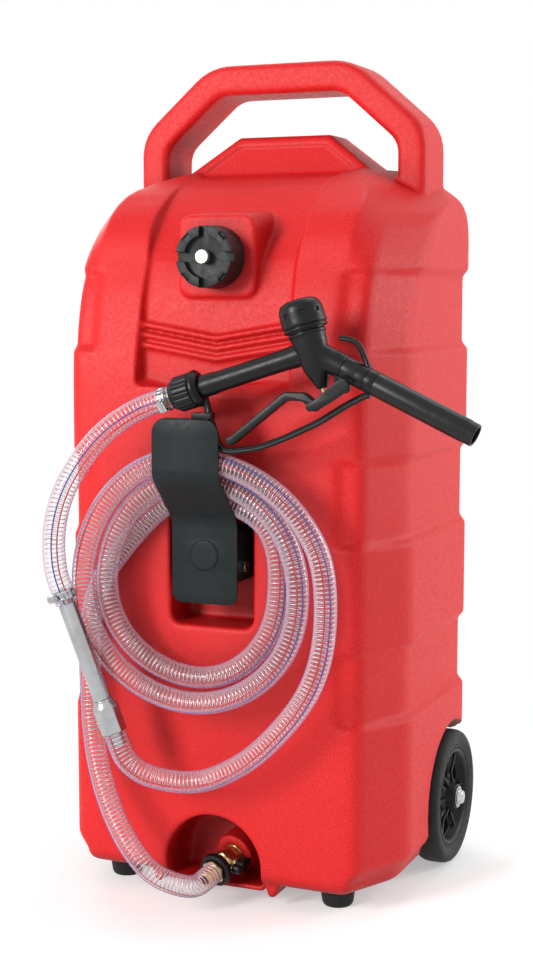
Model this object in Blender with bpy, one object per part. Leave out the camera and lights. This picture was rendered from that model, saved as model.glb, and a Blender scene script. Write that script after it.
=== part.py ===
"""Wheeled fuel tank with a coiled hose, a hand nozzle, a vented cap and a drain valve.

Units are metres and +Z is up. The tank's front faces -Y. All pieces are modelled about the middle
of the tank and hang on one empty, which is then set so that the object stands centred on the origin.
"""

import math

import bmesh
import bpy
from mathutils import Matrix, Vector

for old in list(bpy.data.objects):
    bpy.data.objects.remove(old)

# Fits
CLEARANCE = 0.0003
OVERRUN = 0.004

# Tank shell
HALF_WIDTH = 0.2125
FRONT_REACH = 0.160
BACK_REACH = 0.150
CORNER_HALF_WIDTH = 0.176
CORNER_REACH = 0.158
SIDE_REACH = 0.083
BACK_CHAMFER = 0.018
WALL = 0.0045
BASE_HEIGHT = 0.0165
BASE_ROUNDING = 0.013
SHOULDER_BASE = 0.560
SHOULDER_RISE = 0.282
SHOULDER_TOP = SHOULDER_BASE + SHOULDER_RISE
SPACE_SHARE = 0.92
FRONT_SWEEP = 0.200
SIDE_SWEEP = 0.170
BACK_SWEEP = 0.040
GROOVE_DEPTH = 0.007
GROOVE_SLOPE = 0.008
GROOVE_END = 0.146
GROOVE_LOW_SHARES = (0.3929, 0.7529, 1.1321)
GROOVE_HEIGHT_SHARES = (0.1446, 0.1625, 0.1545)

# Each row: height, front, corner and side sweeps, corner and side widths, back sweep
SHOULDER_SHARES = (
    (0.00, 0.000, 0.000, 0.000, 1.000, 1.000, 0.00),
    (0.14, 0.005, 0.003, 0.000, 1.000, 1.000, 0.00),
    (0.29, 0.030, 0.015, 0.012, 1.000, 1.000, 0.00),
    (0.46, 0.075, 0.060, 0.110, 1.000, 1.000, 0.00),
    (0.61, 0.145, 0.165, 0.220, 1.000, 1.000, 0.00),
    (0.71, 0.195, 0.290, 0.370, 1.000, 1.000, 0.00),
    (0.79, 0.270, 0.440, 0.510, 1.000, 0.993, 0.02),
    (0.835, 0.340, 0.590, 0.690, 1.000, 0.979, 0.05),
    (0.87, 0.410, 0.760, 0.880, 0.990, 0.955, 0.10),
    (0.905, 0.490, 0.900, 1.000, 0.955, 0.905, 0.22),
    (0.94, 0.625, 0.980, 1.060, 0.880, 0.838, 0.40),
    (0.975, 0.790, 1.040, 1.120, 0.795, 0.762, 0.65),
    (1.00, 0.950, 1.080, 1.130, 0.700, 0.682, 0.85),
)

# Recessed panel between the front pillars
PANEL_OFFSET = 0.040
PANEL_TOP_DROP = 0.004
PANEL_BASE = SHOULDER_BASE + PANEL_OFFSET
PANEL_RISE = SHOULDER_TOP - PANEL_TOP_DROP - PANEL_BASE
PANEL_REACH = 0.1425
PANEL_SWEEP = 0.180
PANEL_HALF_WIDTH = 0.090
PANEL_FLARE = 0.045
PANEL_DROP = 0.022
PANEL_SHARES = (
    (0.00, 0.000),
    (0.31, 0.022),
    (0.52, 0.086),
    (0.685, 0.231),
    (0.857, 0.447),
    (0.95, 0.658),
    (1.00, 0.980),
)
CHEVRON_COUNT = 3
CHEVRON_OFFSET = 0.0235
CHEVRON_LOW = PANEL_BASE + CHEVRON_OFFSET
CHEVRON_STEP = 0.0115
CHEVRON_RISE = 0.0155
CHEVRON_THICK = 0.0055
CHEVRON_PROUD = 0.0035
CHEVRON_MARGIN = 0.003

# Carrying handle and the raised six-sided panel below it
HANDLE_FRONT = 0.035
HANDLE_DEPTH = 0.080
HANDLE_HALF_WIDTH = 0.185
HANDLE_RISE = 0.128
HANDLE_TOP = SHOULDER_TOP + HANDLE_RISE
HANDLE_CORNER_HALF = 0.092
HANDLE_CORNER_DROP = 0.081
HANDLE_CORNER_HEIGHT = HANDLE_TOP - HANDLE_CORNER_DROP
HANDLE_SINK = 0.042
HANDLE_FOOT = SHOULDER_TOP - HANDLE_SINK
HANDLE_THICK = 0.036
HANDLE_ROUND = 0.009
CREST_HALF_BASE = 0.122
CREST_HALF_TOP = 0.059
CREST_BASE = SHOULDER_TOP - PANEL_TOP_DROP
CREST_RISE = 0.047
CREST_TOP = CREST_BASE + CREST_RISE
CREST_FRONT = 0.033
CREST_LEAN = 0.45
CREST_RIM = 0.009
CREST_RECESS = 0.0035
CREST_ROUND = 0.004

# Filler boss, neck and cap
BOSS_HALF_WIDTH = 0.047
BOSS_DROP = 0.058
BOSS_HEIGHT = 0.092
BOSS_TOP = SHOULDER_TOP - BOSS_DROP
BOSS_BASE = BOSS_TOP - BOSS_HEIGHT
BOSS_FACE = 0.1425
BOSS_DEPTH = 0.080
BOSS_DRAFT = 0.007
BOSS_RADIUS = 0.014
FILLER_DROP = 0.0475
FILLER_HEIGHT = BOSS_TOP - FILLER_DROP
NECK_RADIUS = 0.0290
NECK_BORE = 0.0235
CAP_RADIUS = 0.0350
CAP_WALL = 0.0035
CAP_HEIGHT = 0.0330
CAP_STANDOFF = 0.0015
CAP_CROWN = 0.0060
CAP_RIM = 0.0085
CAP_RIM_HEIGHT = 0.0050
CAP_NOTCHES = 4
CAP_NOTCH_WIDTH = 0.0110
GASKET_THICK = 0.0025
PIN_RADIUS = 0.0075
PIN_STEM = 0.0032
PIN_TRAVEL = 0.0020
PIN_HEAD = 0.0075
PIN_KEEPER = 0.0055

# Pocket behind the hose bracket, and the bracket
POCKET_HALF_WIDTH = 0.051
POCKET_LOW = 0.322
POCKET_HEIGHT = 0.132
POCKET_DEPTH = 0.048
POCKET_RADIUS = 0.012
POCKET_BACK_WALL = 0.014
SHEET = 0.0025
BRACKET_HALF_WIDTH = 0.040
BRACKET_FRONT = 0.2257
BRACKET_LOW_FRONT = 0.1762
BRACKET_OFFSET = 0.029
BRACKET_BASE = POCKET_LOW + BRACKET_OFFSET
LOWER_LEAF = 0.0945
SLOPE_RISE = 0.0515
UPPER_LEAF = 0.066
BRACKET_FOLD_LOW = BRACKET_BASE + LOWER_LEAF
BRACKET_FOLD_HIGH = BRACKET_FOLD_LOW + SLOPE_RISE
BRACKET_TOP = BRACKET_FOLD_HIGH + UPPER_LEAF
BRACKET_CORNER = 0.012
CORNER_STEPS = 4
CHANNEL_OFFSET = 0.025
CHANNEL_LOW = BRACKET_BASE + CHANNEL_OFFSET
CHANNEL_HEIGHT = 0.058
CHANNEL_INSET = 0.003
DISC_RADIUS = 0.0172
DISC_OFFSET = 0.055
DISC_HEIGHT = BRACKET_BASE + DISC_OFFSET
DISC_PROUD = 0.0015
SCREW_RADIUS = 0.0030
SCREW_HEAD = 0.0055
SCREW_HEAD_THICK = 0.0030
SCREW_BITE = 0.0090
SCREW_SPREAD = 0.022
HEAD_SHARE = 0.8
CROSS_BOLT_RADIUS = 0.0040
CROSS_BOLT_HEAD = 0.0070
CROSS_BOLT_REACH = 0.150
CROSS_BOLT_SHARE = 0.276
CROSS_BOLT_HEIGHT = CHANNEL_LOW + CHANNEL_HEIGHT * CROSS_BOLT_SHARE

# Drain recess and the ball valve in it
ARCH_RADIUS = 0.059
ARCH_TOP = 0.1007
ARCH_DEPTH = 0.058
OUTLET_POINT = Vector((0.0063, -0.172, 0.0382))
OUTLET_LINE = Vector((-0.20, -0.95, -0.24)).normalized()
OUTLET_BOSS_RADIUS = 0.024
OUTLET_BOSS_LENGTH = 0.026
OUTLET_BOSS_BACK = 0.068
INSERT_RADIUS = 0.0125
INSERT_LENGTH = 0.012
VALVE_BORE = 0.0060
VALVE_RADIUS = 0.0125
VALVE_HEX = 0.0145
VALVE_LENGTH = 0.030
BALL_RADIUS = 0.0090
BALL_STEPS = 8
BALL_WAY_SHARE = 0.75
SEAT_ANGLES = (-0.6, -0.3, 0, 0.3, 0.6)
STEM_RADIUS = 0.0030
STEM_HOUSING = 0.0070
STEM_HOUSING_REACH = 0.0165
KNOB_HALF_LENGTH = 0.0135
KNOB_HALF_WIDTH = 0.0055
KNOB_THICK = 0.0100
KNOB_HUB = 0.0072
UNION_RADIUS = 0.0195
UNION_LENGTH = 0.0115
UNION_TEETH = 12
TOOTH_SHARES = ((0.0, 0), (0.6, 0), (0.7, 1), (0.9, 1))
BARB_HEX = 0.0142
BARB_HEX_LENGTH = 0.0065
BARB_RADIUS = 0.0080
BARB_LENGTH = 0.016
SKID_HALF_WIDTH = 0.014
SKID_OFFSET = 0.0715
SKID_DEPTH = 0.040
SKID_DROP = 0.0065
SKID_TOP_SHARE = 0.9
SKID_FRONT_SHARE = 0.4

# Wheels, axle and feet
WHEEL_RADIUS = 0.0816
WHEEL_BACK = 0.083
TYRE_WIDTH = 0.036
TYRE_DEPTH = 0.0225
TYRE_SHOULDER = 0.007
WHEEL_INNER = 0.1815
HUB_WIDTH = 0.0385
HUB_RADIUS = 0.0180
RIM_THICK = 0.0050
WEB_THICK = 0.0080
SPOKES = 6
SPOKE_SHARE = 0.36
WINDOW_NEAR_SHARES = (-0.7, 0.7)
WINDOW_FAR_SHARES = (1, 0.33, -0.33, -1)
BUSH_WALL = 0.0028
AXLE_RADIUS = 0.0060
AXLE_WALL = 0.0060
WASHER_THICK = 0.0014
WASHER_RADIUS = 0.0130
PUSH_CAP_RADIUS = 0.0098
PUSH_CAP_WALL = 0.0016
PUSH_CAP_LENGTH = 0.0055
DOME_SHARE = 0.85
WHEEL_GAP = 0.012
FOOT_HALF_SPREAD = 0.136
FOOT_REACH = 0.110
FOOT_RADIUS = 0.0175
FOOT_TOP_RADIUS = 0.0220
FOOT_POST = 0.0110
FOOT_SCREW_RADIUS = 0.0028
FOOT_SCREW_HEAD = 0.0055
FOOT_SCREW_BITE = 0.0090
FOOT_RECESS = 0.0070

# Hand nozzle, in a plane parallel to the tank's front
NOZZLE_REACH = 0.2185
NOZZLE_X = 0.145
NOZZLE_RISE = 0.074
NOZZLE_HEIGHT = BRACKET_TOP + NOZZLE_RISE
GRIP_TILT = math.radians(17.6)
SPOUT_TILT = math.radians(25.0)
GRIP_RADIUS = 0.0118
GRIP_LENGTH = 0.132
GRIP_BORE = 0.0070
TOWER_TOP_RADIUS = 0.0200
TOWER_BASE_RADIUS = 0.0115
TOWER_RISE = 0.030
TOWER_DROP = 0.0405
TOWER_BORE = 0.0130
TOWER_BORE_DROP = 0.018
TOWER_CAP_RADIUS = 0.0242
TOWER_CAP_HEIGHT = 0.0300
TOWER_CAP_WALL = 0.0035
TOWER_CAP_NOTCHES = 8
TOWER_CAP_NOTCH = 0.0060
TOWER_NOTCH_SHARES = (0.9, 0.5, 0.62)
TOWER_CAP_SHARES = ((0.96, 0.333), (0.94, 0.700), (0.80, 0.888), (0.50, 0.978), (0.0, 1.0))
SOCKET_RADIUS = 0.0150
SOCKET_LENGTH = 0.040
SPOUT_RADIUS = 0.0120
SPOUT_WALL = 0.0022
SPOUT_START = 0.018
SPOUT_LENGTH = 0.178
NOZZLE_BAR = 0.0074
GUARD_WIDTH = 0.0070
TRIGGER_WIDTH = 0.0105
TRIGGER_THICK = 0.0090
TRIGGER_X = 0.034
TRIGGER_DROP = 0.038
TRIGGER_PIN_RADIUS = 0.0022
LUG_THICK = 0.0030
LUG_HALF_WIDTH = 0.0060
COLLAR_RADIUS = 0.0205
COLLAR_LENGTH = 0.0085
COLLAR_START = 0.1335
HOOK_RADIUS = 0.0028
HOOK_CLIP = 0.0030
HOOK_CLIP_LENGTH = 0.0105
HOOK_AT = 0.0565
GUARD_CLIP_GAP = 0.0005
POPPET_RADIUS = 0.0095
POPPET_STEM = 0.0028
POPPET_THICK = 0.0050
SPRING_TURNS = 5
SPRING_STEPS = 8
NUT_RADIUS = 0.0195
NUT_LENGTH = 0.0270
NUT_TEETH = 12
NUT_GROOVE = 0.0012
HANGER_LENGTH = 0.020
HANGER_HEIGHT = 0.006
HANGER_REACH = 0.012

# Hose and what is clamped on it
HOSE_RADIUS = 0.0128
HOSE_BORE = 0.0095
RIB_DEPTH = 0.0006
HOSE_SIDES = 8
RIB_PITCH = 0.0300
NEIGHBOUR_SHARE = 5
CLAMP_WIDTH = 0.0090
CLAMP_THICK = 0.0010
CLAMP_SCREW = 0.0035
CLAMP_INSET = 0.010
CLAMP_PROUD_SHARE = 1.6
CLAMP_TURN = math.radians(150)
TUBE_RADIUS = 0.0102
COUPLING_HEX = 0.0145
COUPLING_LENGTH = 0.040
COUPLING_SHOULDER_SHARE = 0.8

ON_HOSE = (
    "hose_tail",
    "hose_coil",
    "hose_return",
    "hose_lead",
    "inline_tube",
    "tube_coupling",
    "clamp_lead",
    "clamp_nozzle",
)

# Detail
WHEEL_SIDES = 24
ROUND_SIDES = 22
MIDDLE_SIDES = 18
FINE_SIDES = 14
SMALL_SIDES = 8
HEX_SIDES = 6
SMOOTH_ANGLE = math.radians(32)

# Hose routes by hand: drain valve to the coil, coil to the inline tube, inline tube to the nozzle
TAIL_ROUTE = (
    (-0.0145, -0.222, 0.0385),
    (-0.0405, -0.234, 0.0530),
    (-0.0640, -0.232, 0.0735),
    (-0.0875, -0.223, 0.0985),
    (-0.1090, -0.211, 0.1285),
    (-0.1260, -0.199, 0.1620),
    (-0.1380, -0.188, 0.2000),
    (-0.1450, -0.179, 0.2450),
    (-0.1480, -0.1745, 0.2900),
    (-0.1445, -0.1735, 0.3330),
    (-0.1300, -0.1733, 0.3720),
    (-0.1070, -0.1733, 0.4040),
    (-0.0820, -0.1733, 0.4320),
    (-0.0600, -0.1733, 0.4525),
    (-0.0390, -0.1733, 0.4660),
)
RETURN_ROUTE = (
    (0.1530, -0.2090, 0.3100),
    (0.1380, -0.2090, 0.2700),
    (0.1062, -0.2090, 0.2252),
    (0.0529, -0.2090, 0.1772),
    (0.0060, -0.2110, 0.1560),
    (-0.0330, -0.2165, 0.1555),
    (-0.0600, -0.2215, 0.1630),
)
LEAD_ROUTE = (
    (-0.1510, -0.2490, 0.4150),
    (-0.1420, -0.2485, 0.4680),
    (-0.1200, -0.2430, 0.5120),
    (-0.0900, -0.2340, 0.5480),
)

# Quarter turns of the coil: reach from the coil's middle (up, right, down, left) and distance forward
COIL_X = -0.006
COIL_Z = 0.372
COIL_QUARTERS = (
    (0.0980, 0.1733),
    (0.0966, 0.1780),
    (0.1040, 0.1850),
    (0.1040, 0.2020),
    (0.1226, 0.1925),
    (0.1293, 0.1980),
    (0.1290, 0.2030),
    (0.1275, 0.2160),
    (0.1455, 0.2095),
    (0.1645, 0.2090),
)
COIL_STEPS = 24
COIL_FLAT = 0.55
INLINE_LOW = Vector((-0.0878, -0.2290, 0.2073))
INLINE_HIGH = Vector((-0.1369, -0.2460, 0.3539))

# Outlines of the nozzle's bars, as shares of NOZZLE_SPAN right of and above the nozzle's middle
NOZZLE_SPAN = 0.100
GUARD_SHARES = (
    (0.640, -0.445),
    (0.590, -0.450),
    (0.376, -0.562),
    (0.078, -0.745),
    (-0.301, -0.921),
    (-0.609, -1.039),
    (-0.949, -1.089),
    (-1.062, -1.070),
    (-1.150, -0.831),
    (-1.235, -0.530),
)
TRIGGER_SHARES = (
    (0.000, 0.000),
    (-0.218, -0.117),
    (-0.386, -0.185),
    (-0.522, -0.094),
    (-0.659, -0.108),
    (-1.250, -0.585),
    (-1.320, -0.606),
)
HOOK_SHARES = ((0.308, 0.140), (0.445, 0.125), (0.530, 0.060), (0.620, -0.155))

LEAST_SIDE_SHARE = 0.1
HALF_STEP = 0.5
X_AXIS = Vector((1, 0, 0))
Y_AXIS = Vector((0, 1, 0))
Z_AXIS = Vector((0, 0, 1))

ASSEMBLY = bpy.data.objects.new("assembly_frame", None)
bpy.context.scene.collection.objects.link(ASSEMBLY)


def paint(name, colour, roughness, metallic=0.0):
    """A Principled material of one colour."""
    material = bpy.data.materials.new(name)
    material.use_nodes = True
    shader = material.node_tree.nodes["Principled BSDF"]
    shader.inputs["Base Color"].default_value = (*colour, 1)
    shader.inputs["Roughness"].default_value = roughness
    shader.inputs["Metallic"].default_value = metallic
    return material


RED_PLASTIC = paint("red_moulded_plastic", (0.78, 0.03, 0.03), 0.55)
BLACK_PLASTIC = paint("black_plastic", (0.015, 0.015, 0.016), 0.42)
BLACK_STEEL = paint("black_coated_steel", (0.035, 0.042, 0.045), 0.5)
RUBBER = paint("black_rubber", (0.018, 0.018, 0.018), 0.75)
BRASS = paint("brass", (0.62, 0.46, 0.20), 0.3, 1.0)
STEEL = paint("zinc_steel", (0.62, 0.62, 0.62), 0.3, 1.0)
ALUMINIUM = paint("aluminium", (0.72, 0.73, 0.74), 0.35, 1.0)
HOSE_PVC = paint("clear_hose", (0.82, 0.72, 0.78), 0.25)


def frame_along(direction, point=Vector((0, 0, 0)), side=X_AXIS):
    """A placement whose own Z runs along the direction from the point, with X near the side."""
    forward = direction.normalized()
    across = side - forward * side.dot(forward)
    if across.length < LEAST_SIDE_SHARE:
        across = Y_AXIS - forward * Y_AXIS.dot(forward)
    across.normalize()
    third = forward.cross(across)
    turned_frame = Matrix((across, third, forward)).transposed().to_4x4()
    return Matrix.Translation(point) @ turned_frame


def finish(name, shape, material, place=None):
    """Closes the bmesh into a named object that hangs on the assembly frame."""
    bmesh.ops.recalc_face_normals(shape, faces=shape.faces)
    mesh = bpy.data.meshes.new(name)
    shape.to_mesh(mesh)
    shape.free()
    mesh.materials.append(material)
    mesh.shade_smooth()
    mesh.set_sharp_from_angle(angle=SMOOTH_ANGLE)
    piece = bpy.data.objects.new(name, mesh)
    bpy.context.scene.collection.objects.link(piece)
    piece.parent = ASSEMBLY
    if place is not None:
        piece.matrix_local = place
    return piece


def hide(tool):
    """Marks an object as a cutter or a joined shape, which is no piece of its own."""
    tool.hide_render = True
    tool.display_type = "WIRE"
    return tool


def combine(piece, tool, operation):
    """Adds an exact Boolean with the tool to the piece."""
    step = piece.modifiers.new(operation.lower() + "_" + tool.name, "BOOLEAN")
    step.operation = operation
    step.object = hide(tool)


def cut(piece, *tools):
    for tool in tools:
        combine(piece, tool, "DIFFERENCE")


def join(piece, *tools):
    for tool in tools:
        combine(piece, tool, "UNION")


def loft(name, rings, material, place=None):
    """A closed solid through rings of equally many points, with flat ends."""
    shape = bmesh.new()
    loops = [[shape.verts.new(point) for point in ring] for ring in rings]
    count = len(rings[0])
    for low, high in zip(loops, loops[1:]):
        for i in range(count):
            j = (i + 1) % count
            shape.faces.new((low[i], low[j], high[j], high[i]))
    shape.faces.new(list(reversed(loops[0])))
    shape.faces.new(loops[-1])
    bmesh.ops.triangulate(shape, faces=shape.faces)
    return finish(name, shape, material, place)


def turned(name, profile, material, place=None, sides=ROUND_SIDES, hollow=False):
    """A solid turned about its own Z from (radius, height) points; a hollow profile closes on itself."""
    shape = bmesh.new()
    loops = []
    for radius, height in profile:
        if radius == 0:
            loops.append([shape.verts.new((0, 0, height))])
            continue
        turn = 2 * math.pi / sides
        points = [(radius * math.cos(turn * i), radius * math.sin(turn * i), height) for i in range(sides)]
        loops.append([shape.verts.new(point) for point in points])
    pairs = list(zip(loops, loops[1:]))
    if hollow:
        pairs.append((loops[-1], loops[0]))
    for low, high in pairs:
        for i in range(sides):
            j = (i + 1) % sides
            corners = [low[i % len(low)], low[j % len(low)], high[j % len(high)], high[i % len(high)]]
            unlike = list(dict.fromkeys(corners))
            if len(unlike) > 2:
                shape.faces.new(unlike)
    return finish(name, shape, material, place)


def inset(outline, distance):
    """Moves each edge of a closed 2D outline inwards by the distance."""
    count = len(outline)
    area = sum(outline[i - 1][0] * outline[i][1] - outline[i][0] * outline[i - 1][1] for i in range(count))
    way = math.copysign(1, area)
    moved = []
    for i in range(count):
        here = Vector(outline[i])
        before = (here - Vector(outline[i - 1])).normalized()
        after = (Vector(outline[(i + 1) % count]) - here).normalized()
        normal_in = Vector((-before.y, before.x)) * way
        normal_out = Vector((-after.y, after.x)) * way
        both = normal_in + normal_out
        moved.append(here + both * (distance / (1 + normal_in.dot(normal_out))))
    return [tuple(point) for point in moved]


def upright(outline, y, lean=0.0, lean_from=0.0):
    """Stands a 2D outline in a plane of the given Y, which may lean back with height."""
    return [Vector((x, y + lean * (z - lean_from), z)) for x, z in outline]


def slab(name, outline, front, back, material, place=None):
    """An upright outline run from front to back along Y."""
    return loft(name, [upright(outline, front), upright(outline, back)], material, place)


def box(name, low, high, material, place=None):
    outline = [(low[0], low[2]), (high[0], low[2]), (high[0], high[2]), (low[0], high[2])]
    return slab(name, outline, low[1], high[1], material, place)


def rounded_rectangle(half_width, low, high, radius, steps=3):
    """Corner points of a rounded upright rectangle about X = 0."""
    points = []
    centres = ((1, high, 0), (-1, high, 1), (-1, low, 2), (1, low, 3))
    for side, level, quarter in centres:
        middle_z = level - radius if level == high else level + radius
        for i in range(steps + 1):
            angle = math.pi / 2 * (quarter + i / steps)
            x = side * (half_width - radius) + radius * math.cos(angle)
            points.append((x, middle_z + radius * math.sin(angle)))
    return points


def bar_outline(path, width):
    """A flat bar of the given width along a 2D path."""
    left, right = [], []
    for i, point in enumerate(path):
        here = Vector(point)
        before = (here - Vector(path[i - 1])).normalized() if i else None
        after = (Vector(path[i + 1]) - here).normalized() if i + 1 < len(path) else before
        before = before or after
        normal = Vector((-before.y, before.x)) + Vector((-after.y, after.x))
        shift = normal * (width / (2 + 2 * before.dot(after)))
        left.append(tuple(here + shift))
        right.append(tuple(here - shift))
    return left + right[::-1]


def groove_stations():
    """Heights and depths at which the grooves around the shell start and end."""
    stations = []
    half = GROOVE_SLOPE / 2
    for low_share, height_share in zip(GROOVE_LOW_SHARES, GROOVE_HEIGHT_SHARES):
        low = SHOULDER_BASE * low_share
        high = low + SHOULDER_BASE * height_share
        stations += [(low - half, 0), (low + half, GROOVE_DEPTH)]
        stations += [(high - half, GROOVE_DEPTH), (high + half, 0)]
    return stations


def groove_depth(height):
    """Depth of the grooves at this height."""
    stations = groove_stations()
    for (low, depth_low), (high, depth_high) in zip(stations, stations[1:]):
        if low <= height <= high:
            return depth_low + (depth_high - depth_low) * (height - low) / (high - low)
    return 0


def blend_rows(rows, key):
    """The row of a table of shares at this first value, straight between its rows."""
    key = min(max(key, rows[0][0]), rows[-1][0])
    for low, high in zip(rows, rows[1:]):
        if key <= high[0]:
            part = (key - low[0]) / (high[0] - low[0])
            return [a + (b - a) * part for a, b in zip(low, high)]
    return list(rows[-1])


def shell_section(height, depth):
    """The shell's level outline at this height, with its grooves cut in by the depth."""
    share = (height - SHOULDER_BASE) / SHOULDER_RISE
    _, front, corner, side, corner_width, side_width, back = blend_rows(SHOULDER_SHARES, share)
    front_y = -FRONT_REACH + front * FRONT_SWEEP
    corner_x = CORNER_HALF_WIDTH * corner_width
    side_x = HALF_WIDTH * side_width - depth
    corner_y = -CORNER_REACH + corner * FRONT_SWEEP
    side_y = -SIDE_REACH + side * SIDE_SWEEP
    back_y = BACK_REACH - back * BACK_SWEEP
    end_x = GROOVE_END * corner_width
    slope_x = end_x + GROOVE_SLOPE * corner_width
    chamfer = min(BACK_CHAMFER, (back_y - side_y) / 2)
    half = [
        (end_x, front_y),
        (slope_x, front_y + depth),
        (corner_x, corner_y + depth),
        (side_x, side_y + depth / 2),
        (side_x, back_y - chamfer),
        (side_x - chamfer, back_y),
    ]
    return half + [(-x, y) for x, y in reversed(half)]


def shell_heights():
    """Heights of the shell's outlines above its rounded base."""
    heights = {BASE_HEIGHT + BASE_ROUNDING}
    heights.update(height for height, _ in groove_stations())
    heights.update(SHOULDER_BASE + SHOULDER_RISE * row[0] for row in SHOULDER_SHARES)
    return sorted(heights)


def shell_body(name, wall, material):
    """The shell's outer body, or with a wall the space inside it."""
    rounding = (1 - math.cos(math.pi / 6), 1 - math.sin(math.pi / 6))
    rings = []
    floor = BASE_HEIGHT + wall
    plain = shell_section(BASE_HEIGHT + BASE_ROUNDING, 0)
    for share, inward in ((0, 1), rounding[::-1], (1, 0)):
        level = floor + BASE_ROUNDING * (1 - inward if share else 0)
        outline = inset(plain, wall + BASE_ROUNDING * (1 - share))
        rings.append([Vector((x, y, level)) for x, y in outline])
    for height in shell_heights()[1:]:
        if wall and height > SHOULDER_BASE + SHOULDER_RISE * SPACE_SHARE:
            continue
        outline = inset(shell_section(height, groove_depth(height)), wall)
        over = max(0, (height - SHOULDER_BASE) / SHOULDER_RISE)
        rings.append([Vector((x, y, height - wall * over)) for x, y in outline])
    return loft(name, rings, material)


def panel_cutter(name, grow):
    """The space in front of the recessed panel, wider in front, with a V-shaped lower edge."""
    rings = []
    front = -FRONT_REACH - OVERRUN * 5
    for share, sweep in PANEL_SHARES:
        height = PANEL_BASE + PANEL_RISE * share
        back = -PANEL_REACH + PANEL_SWEEP * sweep + grow
        wide = PANEL_HALF_WIDTH + grow
        flare = wide + PANEL_FLARE * (back - front) / PANEL_REACH
        low = height - grow - PANEL_DROP * (1 - share) ** 2
        side_lift = PANEL_DROP * (1 - share)
        lip = GROOVE_SLOPE * (1 - share)
        rings.append(
            [
                Vector((-wide, back, low + side_lift)),
                Vector((0, back, low)),
                Vector((wide, back, low + side_lift)),
                Vector((flare, front, low + side_lift - lip * 2)),
                Vector((0, front, low - lip * 2)),
                Vector((-flare, front, low + side_lift - lip * 2)),
            ]
        )
    top = [point + Z_AXIS * BOSS_RADIUS for point in rings[-1]]
    return loft(name, rings + [top], RED_PLASTIC)


def chevron(number):
    """One V-shaped rib on the panel."""
    half = PANEL_HALF_WIDTH + CHEVRON_MARGIN
    low = CHEVRON_LOW + CHEVRON_STEP * number
    path = [(-half, low + CHEVRON_RISE), (0, low), (half, low + CHEVRON_RISE)]
    outline = bar_outline(path, CHEVRON_THICK)
    front = -PANEL_REACH - CHEVRON_PROUD
    name = "chevron_" + str(number)
    return slab(name, outline, front, front + CHEVRON_PROUD * 3, RED_PLASTIC)


def arch_outline(distance):
    """The handle's outline, moved inwards by the distance on both of its edges."""
    half, corner = HANDLE_HALF_WIDTH, HANDLE_CORNER_HALF
    outer = [
        (-half, HANDLE_FOOT),
        (-half, HANDLE_CORNER_HEIGHT),
        (-corner, HANDLE_TOP),
        (corner, HANDLE_TOP),
        (half, HANDLE_CORNER_HEIGHT),
        (half, HANDLE_FOOT),
    ]
    thick = HANDLE_THICK - distance
    inner = inset(outer, thick)
    outer = inset(outer, distance)
    outer[0], outer[-1] = (outer[0][0], HANDLE_FOOT), (outer[-1][0], HANDLE_FOOT)
    inner[0], inner[-1] = (inner[0][0], HANDLE_FOOT), (inner[-1][0], HANDLE_FOOT)
    return outer + inner[::-1]


def handle_body(name, wall):
    """The handle's arch with chamfered edges, or with a wall the space inside it."""
    front, back = HANDLE_FRONT + wall, HANDLE_FRONT + HANDLE_DEPTH - wall
    rounding = HANDLE_ROUND - wall / 2
    rings = [
        upright(arch_outline(wall + rounding), front),
        upright(arch_outline(wall), front + rounding),
        upright(arch_outline(wall), back - rounding),
        upright(arch_outline(wall + rounding), back),
    ]
    return loft(name, rings, RED_PLASTIC)


def crest_outline():
    half, top = CREST_HALF_BASE, CREST_HALF_TOP
    right = [(top, CREST_TOP), (half, CREST_BASE), (half, HANDLE_FOOT)]
    return [(-x, z) for x, z in reversed(right)] + right


def crest_body(name, wall):
    """The raised panel under the handle, or with a wall the space inside it."""
    front = CREST_FRONT + wall
    back = HANDLE_FRONT + HANDLE_DEPTH - wall - CREST_ROUND
    outline = crest_outline()
    rings = [
        upright(inset(outline, wall + CREST_ROUND), front, CREST_LEAN, CREST_BASE),
        upright(inset(outline, wall), front + CREST_ROUND, CREST_LEAN, CREST_BASE),
        upright(inset(outline, wall), back),
    ]
    return loft(name, rings, RED_PLASTIC)


def crest_recess():
    """The shallow sunk face of the raised panel."""
    outline = inset(crest_outline(), CREST_RIM)
    depth = CREST_RECESS
    rings = [
        upright(outline, CREST_FRONT - depth * 3, CREST_LEAN, CREST_BASE),
        upright(inset(outline, depth / 2), CREST_FRONT + depth, CREST_LEAN, CREST_BASE),
    ]
    return loft("crest_recess", rings, RED_PLASTIC)


def boss_body(name, wall):
    """The block that carries the filler neck."""
    outline = rounded_rectangle(BOSS_HALF_WIDTH, BOSS_BASE, BOSS_TOP, BOSS_RADIUS)
    front = -BOSS_FACE + wall
    rounding = BOSS_DRAFT / 2
    rings = [
        upright(inset(outline, wall + rounding), front),
        upright(inset(outline, wall), front + rounding),
        upright(inset(outline, wall - BOSS_DRAFT), front + BOSS_DEPTH),
    ]
    return loft(name, rings, RED_PLASTIC)


def pocket_cutter(name, grow, back_grow):
    """The pocket behind the hose bracket."""
    low, high = POCKET_LOW, POCKET_LOW + POCKET_HEIGHT
    outline = rounded_rectangle(POCKET_HALF_WIDTH, low, high, POCKET_RADIUS)
    outline = inset(outline, -grow)
    front = -FRONT_REACH - OVERRUN
    back = -FRONT_REACH + POCKET_DEPTH + back_grow
    rings = [
        upright(inset(outline, -OVERRUN), front),
        upright(outline, -FRONT_REACH + OVERRUN),
        upright(inset(outline, OVERRUN / 2), back),
    ]
    return loft(name, rings, RED_PLASTIC)


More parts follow.
